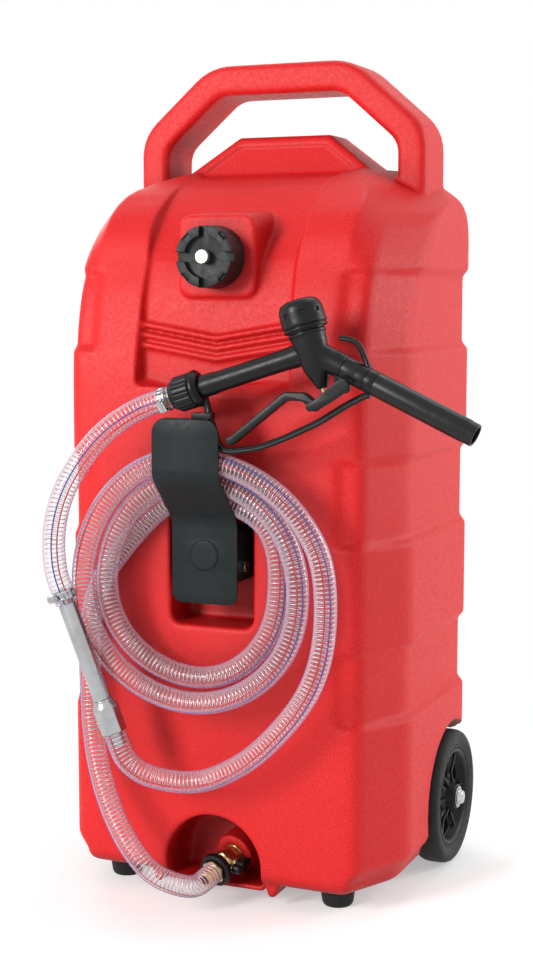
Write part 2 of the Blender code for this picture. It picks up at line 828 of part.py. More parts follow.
def arch_cutter(name, grow):
    """The arched recess around the drain valve, open at the front and below."""
    radius = ARCH_RADIUS + grow
    middle = ARCH_TOP - ARCH_RADIUS
    steps = FINE_SIDES // 2
    outline = []
    for i in range(steps + 1):
        angle = math.pi * i / steps
        outline.append((radius * math.cos(angle), middle + radius * math.sin(angle)))
    outline += [(-radius, BASE_HEIGHT - OVERRUN - grow), (radius, BASE_HEIGHT - OVERRUN - grow)]
    front = -FRONT_REACH - OVERRUN
    back = -FRONT_REACH + ARCH_DEPTH + grow
    rings = [
        upright(inset(outline, -OVERRUN), front),
        upright(outline, -FRONT_REACH + OVERRUN),
        upright(outline, back - BOSS_RADIUS),
        upright(inset(outline, BOSS_RADIUS / 2), back),
    ]
    return loft(name, rings, RED_PLASTIC)


def along_outlet(distance):
    """A point on the drain line, this far back from the hose's end."""
    return OUTLET_POINT - OUTLET_LINE * distance


def rod_along(name, start, end, radius, material, sides=FINE_SIDES):
    """A plain round bar between two points."""
    length = (end - start).length
    profile = [(0, 0), (radius, 0), (radius, length), (0, length)]
    return turned(name, profile, material, frame_along(end - start, start), sides)


def bottom_of_wheel_arch():
    return WHEEL_INNER - WASHER_THICK * 2


def wheel_cutter(name, side, grow):
    """The rounded cut-out that a wheel runs in."""
    radius = WHEEL_RADIUS + WHEEL_GAP + grow
    inner = bottom_of_wheel_arch() - grow
    start = Vector((side * inner, WHEEL_BACK, WHEEL_RADIUS))
    end = Vector((side * (HALF_WIDTH + OVERRUN), WHEEL_BACK, WHEEL_RADIUS))
    return rod_along(name, start, end, radius, RED_PLASTIC, ROUND_SIDES)


def skid(side):
    """The small V-shaped foot that hangs beside the drain recess."""
    middle = side * SKID_OFFSET
    half = SKID_HALF_WIDTH
    top = BASE_HEIGHT + BASE_ROUNDING * SKID_TOP_SHARE
    low = BASE_HEIGHT - SKID_DROP
    tip = half / 4
    outline = [(middle - half, top), (middle + half, top), (middle + tip, low), (middle - tip, low)]
    front = -FRONT_REACH + BASE_ROUNDING * SKID_FRONT_SHARE
    name = "skid_left" if side < 0 else "skid_right"
    return slab(name, outline, front, front + SKID_DEPTH, RED_PLASTIC)


def foot_place(side):
    return Vector((side * FOOT_HALF_SPREAD, -FOOT_REACH, 0))


def tank_cavity():
    """The space for the fuel: the body shrunk by the wall, clear of all that is let into the shell."""
    space = shell_body("fuel_space", WALL, RED_PLASTIC)
    cut(space, panel_cutter("panel_backing", WALL))
    cut(space, pocket_cutter("pocket_backing", WALL, POCKET_BACK_WALL))
    cut(space, arch_cutter("arch_backing", WALL))
    cut(space, outlet_boss("outlet_backing", WALL))
    for side, word in ((-1, "left"), (1, "right")):
        cut(space, wheel_cutter("wheel_backing_" + word, side, WALL))
        base = foot_place(side)
        top = base + Z_AXIS * (BASE_HEIGHT + FOOT_SCREW_BITE + WALL)
        cut(space, rod_along("foot_post_" + word, base, top, FOOT_POST, RED_PLASTIC))
    tunnel = AXLE_RADIUS + AXLE_WALL
    low = (-HALF_WIDTH, WHEEL_BACK - tunnel, 0)
    high = (HALF_WIDTH, WHEEL_BACK + tunnel, WHEEL_RADIUS + tunnel)
    cut(space, box("axle_backing", low, high, RED_PLASTIC))
    join(space, handle_body("handle_space", WALL), crest_body("crest_space", WALL))
    bore_start = Vector((0, -neck_reach() - OVERRUN, FILLER_HEIGHT))
    bore_end = Vector((0, -FRONT_REACH / 2, FILLER_HEIGHT))
    join(space, rod_along("filler_bore", bore_start, bore_end, NECK_BORE, RED_PLASTIC, ROUND_SIDES))
    deep = along_outlet(outlet_face() + OUTLET_BOSS_LENGTH + OUTLET_BOSS_BACK)
    join(space, rod_along("drain_way", along_outlet(outlet_face() - OVERRUN), deep, VALVE_BORE, BRASS))
    return space


def outlet_boss(name, grow):
    """The round boss in the drain recess that the valve is screwed into."""
    start = along_outlet(outlet_face() + OUTLET_BOSS_LENGTH + grow)
    end = along_outlet(outlet_face() - grow)
    return rod_along(name, start, end, OUTLET_BOSS_RADIUS + grow, RED_PLASTIC)


def outlet_face():
    """Distance from the hose's end back to the boss's face."""
    return VALVE_LENGTH + UNION_LENGTH + CLEARANCE * 3


def tank_shell():
    """The moulded tank: pillars, grooves, panel, handle, filler boss, pocket, recess and cut-outs."""
    shell = shell_body("tank_shell", 0, RED_PLASTIC)
    cut(shell, panel_cutter("panel_recess", 0))
    join(shell, handle_body("handle_arch", 0))
    join(shell, crest_body("crest", 0))
    cut(shell, crest_recess())
    join(shell, *[chevron(number) for number in range(CHEVRON_COUNT)])
    join(shell, boss_body("filler_boss", 0), skid(-1), skid(1))
    cut(shell, pocket_cutter("pocket", 0, 0), arch_cutter("drain_recess", 0))
    cut(shell, wheel_cutter("wheel_arch_left", -1, 0), wheel_cutter("wheel_arch_right", 1, 0))
    join(shell, outlet_boss("outlet_boss", 0))
    neck_start = Vector((0, -BOSS_FACE + BOSS_RADIUS, FILLER_HEIGHT))
    neck_end = Vector((0, -neck_reach(), FILLER_HEIGHT))
    join(shell, rod_along("filler_neck", neck_start, neck_end, NECK_RADIUS, RED_PLASTIC, ROUND_SIDES))
    seat = INSERT_RADIUS + CLEARANCE
    front = along_outlet(outlet_face() - OVERRUN)
    back = along_outlet(outlet_face() + INSERT_LENGTH + CLEARANCE)
    cut(shell, rod_along("insert_seat", front, back, seat, BRASS))
    wide = X_AXIS * (HALF_WIDTH + OVERRUN)
    axle_line = Vector((0, WHEEL_BACK, WHEEL_RADIUS))
    bore = AXLE_RADIUS + CLEARANCE
    cut(shell, rod_along("axle_bore", axle_line - wide, axle_line + wide, bore, STEEL))
    for side, word in ((-1, "left"), (1, "right")):
        start = foot_place(side)
        end = start + Z_AXIS * (BASE_HEIGHT + FOOT_SCREW_BITE + CLEARANCE)
        bore = FOOT_SCREW_RADIUS + CLEARANCE
        cut(shell, rod_along("foot_hole_" + word, start, end, bore, STEEL, SMALL_SIDES))
    for number, place in enumerate(bracket_screw_places()):
        start = place - Y_AXIS * OVERRUN
        end = place + Y_AXIS * (SCREW_BITE + CLEARANCE)
        bore = SCREW_RADIUS + CLEARANCE
        cut(shell, rod_along("bracket_hole_" + str(number), start, end, bore, STEEL, SMALL_SIDES))
    cut(shell, tank_cavity())
    return shell


def cap_base():
    """How far forward the cap's open end stands."""
    return BOSS_FACE + CAP_STANDOFF


def neck_reach():
    """How far forward the neck's rim stands, under the gasket."""
    return cap_base() + CAP_HEIGHT - CAP_RIM_HEIGHT - CAP_CROWN - GASKET_THICK - CLEARANCE * 2


def filler_frame():
    """The cap's line: its own Z points forward from the cap's open end."""
    return frame_along(-Y_AXIS, Vector((0, -cap_base(), FILLER_HEIGHT)))


def fuel_cap():
    """The screw cap, with a notched rim and a bore for the vent pin."""
    crown = CAP_HEIGHT - CAP_RIM_HEIGHT
    ceiling = crown - CAP_CROWN
    inner = CAP_RADIUS - CAP_WALL
    rim = CAP_RADIUS - CAP_RIM
    bevel = CAP_WALL / 3
    bore = PIN_STEM + CLEARANCE
    profile = [
        (inner, 0),
        (inner, ceiling),
        (bore, ceiling),
        (bore, crown),
        (rim, crown),
        (rim, CAP_HEIGHT),
        (CAP_RADIUS - bevel, CAP_HEIGHT),
        (CAP_RADIUS, CAP_HEIGHT - bevel),
        (CAP_RADIUS, 0),
    ]
    cap = turned("fuel_cap", profile, BLACK_PLASTIC, filler_frame(), WHEEL_SIDES, True)
    for number in range(CAP_NOTCHES):
        half = CAP_NOTCH_WIDTH / 2
        low = (rim - OVERRUN / 2, -half, crown + CAP_RIM_HEIGHT / 5)
        high = (CAP_RADIUS + OVERRUN, half, CAP_HEIGHT + OVERRUN)
        turn = Matrix.Rotation(2 * math.pi * number / CAP_NOTCHES, 4, "Z")
        cut(cap, box("cap_notch_" + str(number), low, high, BLACK_PLASTIC, filler_frame() @ turn))
    return cap


def cap_gasket():
    ceiling = CAP_HEIGHT - CAP_RIM_HEIGHT - CAP_CROWN
    high = ceiling - CLEARANCE
    low = high - GASKET_THICK
    outer = CAP_RADIUS - CAP_WALL - CLEARANCE
    profile = [(NECK_BORE, low), (NECK_BORE, high), (outer, high), (outer, low)]
    return turned("cap_gasket", profile, RUBBER, filler_frame(), ROUND_SIDES, True)


def vent_pin():
    """The brass vent pin through the cap, with a keeper flange inside."""
    crown = CAP_HEIGHT - CAP_RIM_HEIGHT
    ceiling = crown - CAP_CROWN
    head = crown + PIN_TRAVEL + CLEARANCE
    keeper = ceiling - CLEARANCE
    bevel = PIN_RADIUS / 8
    profile = [
        (0, keeper - GASKET_THICK),
        (PIN_KEEPER, keeper - GASKET_THICK),
        (PIN_KEEPER, keeper),
        (PIN_STEM, keeper),
        (PIN_STEM, head),
        (PIN_RADIUS, head),
        (PIN_RADIUS, head + PIN_HEAD - bevel),
        (PIN_RADIUS - bevel, head + PIN_HEAD),
        (0, head + PIN_HEAD),
    ]
    return turned("vent_pin", profile, BRASS, filler_frame(), FINE_SIDES)


def bracket_rows():
    """Rows down the bent sheet's middle line: point (y, z) and half width."""
    high, low = -BRACKET_FRONT, -BRACKET_LOW_FRONT
    corner = []
    for i in range(CORNER_STEPS + 1):
        angle = math.pi / 2 * i / CORNER_STEPS
        inward = BRACKET_CORNER * (1 - math.sin(angle))
        corner.append((BRACKET_CORNER * (1 - math.cos(angle)), BRACKET_HALF_WIDTH - inward))
    rows = [((high, BRACKET_TOP - drop), width) for drop, width in corner]
    rows.append(((high, BRACKET_FOLD_HIGH), BRACKET_HALF_WIDTH))
    rows.append(((low, BRACKET_FOLD_LOW), BRACKET_HALF_WIDTH))
    rows += [((low, BRACKET_BASE + rise), width) for rise, width in reversed(corner)]
    return rows


def hose_bracket():
    """The bent steel sheet that holds the hose, with its channel into the pocket."""
    rows = bracket_rows()
    middle = [Vector(row[0]) for row in rows]
    rings = []
    for i, (point, width) in enumerate(rows):
        before = (middle[i] - middle[i - 1]).normalized() if i else None
        after = (middle[i + 1] - middle[i]).normalized() if i + 1 < len(rows) else before
        before = before or after
        normal = Vector((-before.y, before.x)) + Vector((-after.y, after.x))
        shift = normal * (SHEET / (2 + 2 * before.dot(after)))
        near, far = middle[i] + shift, middle[i] - shift
        rings.append(
            [
                Vector((-width, near.x, near.y)),
                Vector((width, near.x, near.y)),
                Vector((width, far.x, far.y)),
                Vector((-width, far.x, far.y)),
            ]
        )
    bracket = loft("hose_bracket", rings, BLACK_STEEL)
    wide = BRACKET_HALF_WIDTH - CHANNEL_INSET
    front = -BRACKET_LOW_FRONT + SHEET / 4
    back = -FRONT_REACH + POCKET_DEPTH - CLEARANCE
    low, high = CHANNEL_LOW, CHANNEL_LOW + CHANNEL_HEIGHT
    channel = box("bracket_channel", (-wide, front, low), (wide, back, high), BLACK_STEEL)
    inner = wide - SHEET
    reach = back - SHEET
    hollow = box(
        "channel_hollow",
        (-inner, front + SHEET, low - OVERRUN),
        (inner, reach, high + OVERRUN),
        BLACK_STEEL,
    )
    cut(channel, hollow)
    disc_start = Vector((0, -BRACKET_LOW_FRONT, DISC_HEIGHT))
    disc_end = Vector((0, -BRACKET_LOW_FRONT - SHEET / 2 - DISC_PROUD, DISC_HEIGHT))
    disc = rod_along("bracket_disc", disc_start, disc_end, DISC_RADIUS, BLACK_STEEL, ROUND_SIDES)
    join(bracket, channel, disc)
    for number, place in enumerate(bracket_screw_places()):
        start = place - Y_AXIS * (SHEET + OVERRUN)
        end = place + Y_AXIS * OVERRUN
        bore = SCREW_RADIUS + CLEARANCE
        cut(bracket, rod_along("screw_way_" + str(number), start, end, bore, STEEL, SMALL_SIDES))
    middle = cross_bolt_middle()
    span = X_AXIS * (BRACKET_HALF_WIDTH + OVERRUN)
    bore = CROSS_BOLT_RADIUS + CLEARANCE
    cut(bracket, rod_along("cross_way", middle - span, middle + span, bore, STEEL))
    return bracket


def cross_bolt_middle():
    return Vector((0, -CROSS_BOLT_REACH, CROSS_BOLT_HEIGHT))


def bracket_screw_places():
    """Where the bracket's two screws enter the pocket's back wall."""
    level = CHANNEL_LOW + CHANNEL_HEIGHT / 2
    back = -FRONT_REACH + POCKET_DEPTH
    return [Vector((side * SCREW_SPREAD, back, level)) for side in (-1, 1)]


def bracket_screw(number, place):
    """A pan-head screw that holds the bracket's channel to the tank."""
    head = CLEARANCE * 2 + SHEET
    top = head + SCREW_HEAD_THICK
    profile = [
        (0, -SCREW_BITE),
        (SCREW_RADIUS, -SCREW_BITE),
        (SCREW_RADIUS, head),
        (SCREW_HEAD, head),
        (SCREW_HEAD * HEAD_SHARE, top),
        (0, top),
    ]
    word = "left" if number == 0 else "right"
    return turned("bracket_screw_" + word, profile, STEEL, frame_along(-Y_AXIS, place), SMALL_SIDES)


def cross_bolt():
    """The bolt across the bracket's channel, with its round head at the right."""
    outer = BRACKET_HALF_WIDTH - CHANNEL_INSET
    head = outer + CLEARANCE
    top = head + CROSS_BOLT_HEAD / 2
    profile = [
        (0, -outer - SHEET),
        (CROSS_BOLT_RADIUS, -outer - SHEET),
        (CROSS_BOLT_RADIUS, head),
        (CROSS_BOLT_HEAD, head),
        (CROSS_BOLT_HEAD * HEAD_SHARE, top),
        (0, top),
    ]
    place = frame_along(X_AXIS, cross_bolt_middle(), Z_AXIS)
    return turned("bracket_cross_bolt", profile, STEEL, place, HEX_SIDES)


def cross_nut():
    """The nut on the cross bolt's left end, inside the channel's left wall."""
    bore = CROSS_BOLT_RADIUS + CLEARANCE
    inner = -(BRACKET_HALF_WIDTH - CHANNEL_INSET - SHEET) + CLEARANCE
    high = inner + CROSS_BOLT_HEAD * HEAD_SHARE
    profile = [(bore, inner), (CROSS_BOLT_HEAD, inner), (CROSS_BOLT_HEAD, high), (bore, high)]
    place = frame_along(X_AXIS, cross_bolt_middle(), Z_AXIS)
    return turned("bracket_cross_nut", profile, STEEL, place, HEX_SIDES, True)


def outlet_frame(distance):
    """A frame on the drain line whose own Z runs out towards the hose."""
    return frame_along(OUTLET_LINE, along_outlet(distance))


def outlet_insert():
    """The brass bush moulded into the drain boss."""
    length = INSERT_LENGTH
    profile = [(VALVE_BORE, -length), (INSERT_RADIUS, -length), (INSERT_RADIUS, 0), (VALVE_BORE, 0)]
    place = outlet_frame(outlet_face())
    return turned("outlet_insert", profile, BRASS, place, FINE_SIDES, True)


def valve_middle():
    """Distance from the hose's end back to the middle of the ball."""
    return UNION_LENGTH + CLEARANCE * 2 + VALVE_LENGTH / 2


def valve_body():
    """The brass ball valve's body, with a side boss for the stem."""
    half = VALVE_LENGTH / 2
    chamber = BALL_RADIUS + CLEARANCE
    mouth = math.sqrt(chamber**2 - VALVE_BORE**2)
    inner = [(chamber * math.cos(angle), chamber * math.sin(angle)) for angle in SEAT_ANGLES]
    profile = [
        (VALVE_BORE, -half),
        (VALVE_BORE, -mouth),
        *inner,
        (VALVE_BORE, mouth),
        (VALVE_BORE, half),
        (VALVE_RADIUS, half),
        (VALVE_RADIUS, half / 2),
        (VALVE_HEX, half / 3),
        (VALVE_HEX, -half / 3),
        (VALVE_RADIUS, -half / 2),
        (VALVE_RADIUS, -half),
    ]
    body = turned("valve_body", profile, BRASS, outlet_frame(valve_middle()), FINE_SIDES, True)
    line = stem_line()
    middle = along_outlet(valve_middle())
    start = middle + line * (BALL_RADIUS + CLEARANCE * 3)
    end = middle + line * STEM_HOUSING_REACH
    join(body, rod_along("stem_housing", start, end, STEM_HOUSING, BRASS))
    bore = STEM_RADIUS + CLEARANCE
    cut(body, rod_along("stem_way", middle, end + line * OVERRUN, bore, BRASS, SMALL_SIDES))
    return body


def stem_line():
    """The valve stem's direction: square to the drain line, towards the right."""
    return (X_AXIS - OUTLET_LINE * X_AXIS.dot(OUTLET_LINE)).normalized()


def valve_frame():
    """The stem's frame: own Z out along the stem, own X back along the drain line."""
    return frame_along(stem_line(), along_outlet(valve_middle()), -OUTLET_LINE)


def valve_ball():
    """The drilled ball and its stem in one piece."""
    profile = [(0, -BALL_RADIUS)]
    for i in range(1, BALL_STEPS):
        angle = math.pi * (i / BALL_STEPS - HALF_STEP)
        radius = BALL_RADIUS * math.cos(angle)
        height = BALL_RADIUS * math.sin(angle)
        if radius > STEM_RADIUS or height < 0:
            profile.append((radius, height))
    neck = math.sqrt(BALL_RADIUS**2 - STEM_RADIUS**2)
    top = STEM_HOUSING_REACH + CLEARANCE * 2 + KNOB_THICK / 2
    profile += [(STEM_RADIUS, neck), (STEM_RADIUS, top), (0, top)]
    ball = turned("valve_ball", profile, STEEL, valve_frame(), FINE_SIDES)
    reach = OUTLET_LINE * (BALL_RADIUS + OVERRUN)
    middle = along_outlet(valve_middle())
    way = VALVE_BORE * BALL_WAY_SHARE
    cut(ball, rod_along("ball_way", middle - reach, middle + reach, way, BRASS, SMALL_SIDES))
    return ball


def valve_knob():
    """The butterfly knob that turns the ball."""
    low = STEM_HOUSING_REACH + CLEARANCE
    high = low + KNOB_THICK
    rings = []
    for level, grow in ((low, 0), (high - KNOB_THICK / 5, 0), (high, -KNOB_THICK / 8)):
        half, wide = KNOB_HALF_LENGTH + grow, KNOB_HALF_WIDTH + grow
        rings.append(
            [
                Vector((half, wide, level)),
                Vector((wide, wide, level)),
                Vector((-wide, wide, level)),
                Vector((-half, wide, level)),
                Vector((-half, -wide, level)),
                Vector((-wide, -wide, level)),
                Vector((wide, -wide, level)),
                Vector((half, -wide, level)),
            ]
        )
    knob = loft("valve_knob", rings, BLACK_PLASTIC, valve_frame())
    hub = [(0, low), (KNOB_HUB, low), (KNOB_HUB, high - KNOB_THICK / 10), (0, high - KNOB_THICK / 10)]
    join(knob, turned("knob_hub", hub, BLACK_PLASTIC, valve_frame(), FINE_SIDES))
    stem_top = STEM_HOUSING_REACH + CLEARANCE * 3 + KNOB_THICK / 2
    way = [(0, 0), (STEM_RADIUS + CLEARANCE, 0), (STEM_RADIUS + CLEARANCE, stem_top), (0, stem_top)]
    cut(knob, turned("knob_way", way, BLACK_PLASTIC, valve_frame(), SMALL_SIDES))
    return knob


def toothed_ring(name, bore, radius, groove, teeth, length, material, place):
    """A ring with grooves around its outside, such as a grip nut."""
    outer = []
    for i in range(teeth):
        for share, sunk in TOOTH_SHARES:
            angle = 2 * math.pi * (i + share) / teeth
            reach = radius - groove * sunk
            outer.append((reach * math.cos(angle), reach * math.sin(angle)))
    bevel = groove / 2
    rings = []
    for level, inward in ((0, bevel), (bevel, 0), (length - bevel, 0), (length, bevel)):
        scale = 1 - inward / radius
        rings.append([Vector((x * scale, y * scale, level)) for x, y in outer])
    ring = loft(name, rings, material, place)
    way = [(0, -OVERRUN), (bore, -OVERRUN), (bore, length + OVERRUN), (0, length + OVERRUN)]
    cut(ring, turned(name + "_bore", way, material, place, FINE_SIDES))
    return ring


def union_nut():
    """The black swivel nut between the valve and the hose barb."""
    place = outlet_frame(UNION_LENGTH + CLEARANCE)
    bore = BARB_RADIUS + CLEARANCE
    sizes = (bore, UNION_RADIUS, NUT_GROOVE, UNION_TEETH, UNION_LENGTH - BARB_HEX_LENGTH / 2)
    return toothed_ring("union_nut", *sizes, BLACK_PLASTIC, place)


def outlet_barb():
    """The brass hose barb: tail in the nut, hexagon in front of it, barb in the hose."""
    hex_back = -BARB_HEX_LENGTH / 2 + CLEARANCE * 2
    profile = [
        (VALVE_BORE, -UNION_LENGTH),
        (BARB_RADIUS, -UNION_LENGTH),
        (BARB_RADIUS, hex_back),
        (BARB_HEX, hex_back),
        (BARB_HEX, -CLEARANCE),
        (BARB_RADIUS, -CLEARANCE),
        (BARB_RADIUS, BARB_LENGTH),
        (VALVE_BORE, BARB_LENGTH),
    ]
    return turned("outlet_barb", profile, BRASS, outlet_frame(0), SMALL_SIDES, True)


def tyre(word, side):
    """A rubber tyre with rounded shoulders."""
    inner = WHEEL_RADIUS - TYRE_DEPTH
    half = TYRE_WIDTH / 2
    soft = TYRE_SHOULDER
    profile = [
        (inner, -half + soft / 2),
        (inner, half - soft / 2),
        (inner + soft / 2, half),
        (WHEEL_RADIUS - soft, half),
        (WHEEL_RADIUS, half - soft),
        (WHEEL_RADIUS, -half + soft),
        (WHEEL_RADIUS - soft, -half),
        (inner + soft / 2, -half),
    ]
    place = wheel_frame(side, HUB_WIDTH / 2)
    return turned("tyre_" + word, profile, RUBBER, place, WHEEL_SIDES, True)


def wheel_frame(side, outward):
    """A frame on the wheels' axis whose own Z runs outwards, this far from the hub's inner end."""
    point = Vector((side * (WHEEL_INNER + outward), WHEEL_BACK, WHEEL_RADIUS))
    return frame_along(X_AXIS * side, point, Z_AXIS)


def rim(word, side):
    """A moulded wheel: rim, spoked web and hub."""
    outer = WHEEL_RADIUS - TYRE_DEPTH - CLEARANCE
    half = TYRE_WIDTH / 2 - TYRE_SHOULDER / 2
    web = WEB_THICK / 2
    bore = AXLE_RADIUS + BUSH_WALL + CLEARANCE * 2
    hub = HUB_WIDTH / 2
    inner = outer - RIM_THICK
    profile = [
        (bore, -hub),
        (HUB_RADIUS - web, -hub),
        (HUB_RADIUS, -web),
        (inner, -web),
        (inner + web / 4, -half),
        (outer, -half),
        (outer, half),
        (inner + web / 4, half),
        (inner, web),
        (HUB_RADIUS, web),
        (HUB_RADIUS - web, hub),
        (bore, hub),
    ]
    place = wheel_frame(side, HUB_WIDTH / 2)
    wheel = turned("wheel_rim_" + word, profile, BLACK_PLASTIC, place, WHEEL_SIDES, True)
    near, far = HUB_RADIUS + web, inner - web
    for number in range(SPOKES):
        open_half = math.pi / SPOKES * (1 - SPOKE_SHARE)
        outline = []
        for radius, turns in ((near, WINDOW_NEAR_SHARES), (far, WINDOW_FAR_SHARES)):
            for turn in turns:
                angle = open_half * turn
                outline.append((radius * math.cos(angle), radius * math.sin(angle)))
        rings = [[Vector((x, y, level)) for x, y in outline] for level in (-WEB_THICK, WEB_THICK)]
        turn = Matrix.Rotation(2 * math.pi * number / SPOKES, 4, "Z")
        cut(wheel, loft("window_" + word + str(number), rings, BLACK_PLASTIC, place @ turn))
    return wheel


def bush(word, side):
    """The plain bush pressed in a wheel's hub."""
    inner = AXLE_RADIUS + CLEARANCE
    outer = inner + BUSH_WALL
    half = HUB_WIDTH / 2
    profile = [(inner, -half), (inner, half), (outer, half), (outer, -half)]
    place = wheel_frame(side, HUB_WIDTH / 2)
    return turned("wheel_bush_" + word, profile, STEEL, place, FINE_SIDES, True)


def washer(name, side, outward):
    """A flat washer on the axle."""
    bore = AXLE_RADIUS + CLEARANCE
    profile = [(bore, 0), (bore, WASHER_THICK), (WASHER_RADIUS, WASHER_THICK), (WASHER_RADIUS, 0)]
    return turned(name, profile, STEEL, wheel_frame(side, outward), FINE_SIDES, True)


def axle_half():
    """Half the axle's length, to inside the push caps."""
    return WHEEL_INNER + HUB_WIDTH + WASHER_THICK + CLEARANCE * 2 + PUSH_CAP_LENGTH - PUSH_CAP_WALL * 2


def push_cap(word, side):
    """The domed push nut on an axle's end."""
    bore = AXLE_RADIUS + CLEARANCE
    base = HUB_WIDTH + WASHER_THICK + CLEARANCE * 2
    roof = axle_half() - WHEEL_INNER + CLEARANCE
    top = base + PUSH_CAP_LENGTH + PUSH_CAP_WALL / 2
    profile = [
        (0, roof),
        (bore, roof),
        (bore, base),
        (PUSH_CAP_RADIUS, base),
        (PUSH_CAP_RADIUS, base + PUSH_CAP_WALL),
        (PUSH_CAP_RADIUS * DOME_SHARE, top - PUSH_CAP_WALL),
        (PUSH_CAP_RADIUS / 2, top - PUSH_CAP_WALL / 4),
        (0, top),
    ]
    return turned("axle_cap_" + word, profile, STEEL, wheel_frame(side, 0), FINE_SIDES)


def foot(word, side):
    """A rubber foot with a deep screw hole."""
    top = BASE_HEIGHT - CLEARANCE
    bore = FOOT_SCREW_RADIUS + CLEARANCE
    sink = FOOT_SCREW_HEAD + CLEARANCE
    soft = FOOT_RADIUS / 12
    profile = [
        (bore, FOOT_RECESS),
        (bore, top),
        (FOOT_TOP_RADIUS, top),
        (FOOT_TOP_RADIUS, top - soft),
        (FOOT_RADIUS, soft),
        (FOOT_RADIUS - soft, 0),
        (sink, 0),
        (sink, FOOT_RECESS),
    ]
    return turned("foot_" + word, profile, RUBBER, Matrix.Translation(foot_place(side)), MIDDLE_SIDES, True)


def foot_screw(word, side):
    high = BASE_HEIGHT + FOOT_SCREW_BITE
    seat = FOOT_RECESS - CLEARANCE
    low = seat - FOOT_SCREW_HEAD / 2
    profile = [
        (0, low),
        (FOOT_SCREW_HEAD * HEAD_SHARE, low),
        (FOOT_SCREW_HEAD, low + FOOT_SCREW_HEAD / 5),
        (FOOT_SCREW_HEAD, seat),
        (FOOT_SCREW_RADIUS, seat),
        (FOOT_SCREW_RADIUS, high),
        (0, high),
    ]
    return turned("foot_screw_" + word, profile, STEEL, Matrix.Translation(foot_place(side)), SMALL_SIDES)


def nozzle_middle():
    return Vector((NOZZLE_X, -NOZZLE_REACH, NOZZLE_HEIGHT))


def grip_line():
    """From the nozzle's middle along the grip to the hose."""
    return Vector((-math.cos(GRIP_TILT), 0, -math.sin(GRIP_TILT)))


def tower_line():
    """From the nozzle's middle up to the valve cap."""
    return Vector((-math.sin(GRIP_TILT), 0, math.cos(GRIP_TILT)))


def spout_line():
    return Vector((math.cos(SPOUT_TILT), 0, -math.sin(SPOUT_TILT)))


def tower_frame():
    return frame_along(tower_line(), nozzle_middle(), Y_AXIS)


def nozzle_point(shares):
    """A point of the nozzle's flat bars, from shares of its span."""
    return (NOZZLE_X + NOZZLE_SPAN * shares[0], NOZZLE_HEIGHT + NOZZLE_SPAN * shares[1])


def pivot_point():
    return Vector((NOZZLE_X + TRIGGER_X, -NOZZLE_REACH, NOZZLE_HEIGHT - TRIGGER_DROP))


def nozzle_body():
    """The nozzle's moulded body: valve tower, grip tube, spout socket and trigger lugs."""
    tower = [
        (0, -TOWER_DROP),
        (TOWER_BASE_RADIUS, -TOWER_DROP),
        (TOWER_TOP_RADIUS, TOWER_RISE - TOWER_CAP_WALL),
        (TOWER_TOP_RADIUS, TOWER_RISE),
        (0, TOWER_RISE),
    ]
    body = turned("nozzle_body", tower, BLACK_PLASTIC, tower_frame(), ROUND_SIDES)
    middle = nozzle_middle()
    grip_end = middle + grip_line() * GRIP_LENGTH
    join(body, rod_along("grip_tube", middle, grip_end, GRIP_RADIUS, BLACK_PLASTIC))
    socket_end = middle + spout_line() * SOCKET_LENGTH
    join(body, rod_along("spout_socket", middle, socket_end, SOCKET_RADIUS, BLACK_PLASTIC))
    pivot = pivot_point()
    near = TRIGGER_WIDTH / 2 + CLEARANCE
    for word, face in (("front", -near - LUG_THICK), ("back", near)):
        half = LUG_HALF_WIDTH
        low = pivot + Vector((-half, face, -half))
        high = pivot + Vector((half, face + LUG_THICK, TRIGGER_DROP - SOCKET_RADIUS / 2))
        join(body, box("lug_" + word, low, high, BLACK_PLASTIC))
    chamber_top = TOWER_RISE + OVERRUN
    chamber = [
        (0, -TOWER_BORE_DROP),
        (TOWER_BORE, -TOWER_BORE_DROP),
        (TOWER_BORE, chamber_top),
        (0, chamber_top),
    ]
    cut(body, turned("valve_chamber", chamber, BLACK_PLASTIC, tower_frame(), ROUND_SIDES))
    way_end = grip_end + grip_line() * OVERRUN
    cut(body, rod_along("grip_way", middle, way_end, GRIP_BORE, BLACK_PLASTIC, SMALL_SIDES))
    bore = SPOUT_RADIUS + CLEARANCE
    seat = middle + spout_line() * (SPOUT_START - CLEARANCE)
    seat_end = socket_end + spout_line() * SOCKET_RADIUS
    cut(body, rod_along("spout_seat", seat, seat_end, bore, BLACK_PLASTIC, ROUND_SIDES))
    way = SPOUT_RADIUS - SPOUT_WALL
    cut(body, rod_along("spout_way", middle, socket_end, way, BLACK_PLASTIC, FINE_SIDES))
    below = -TOWER_DROP - OVERRUN
    way = POPPET_STEM + CLEARANCE
    stem = [(0, below), (way, below), (way, 0), (0, 0)]
    cut(body, turned("poppet_way", stem, BLACK_PLASTIC, tower_frame(), SMALL_SIDES))
    span = Y_AXIS * (near + LUG_THICK + OVERRUN)
    hole = TRIGGER_PIN_RADIUS + CLEARANCE
    cut(body, rod_along("pin_way", pivot - span, pivot + span, hole, STEEL, SMALL_SIDES))
    return body


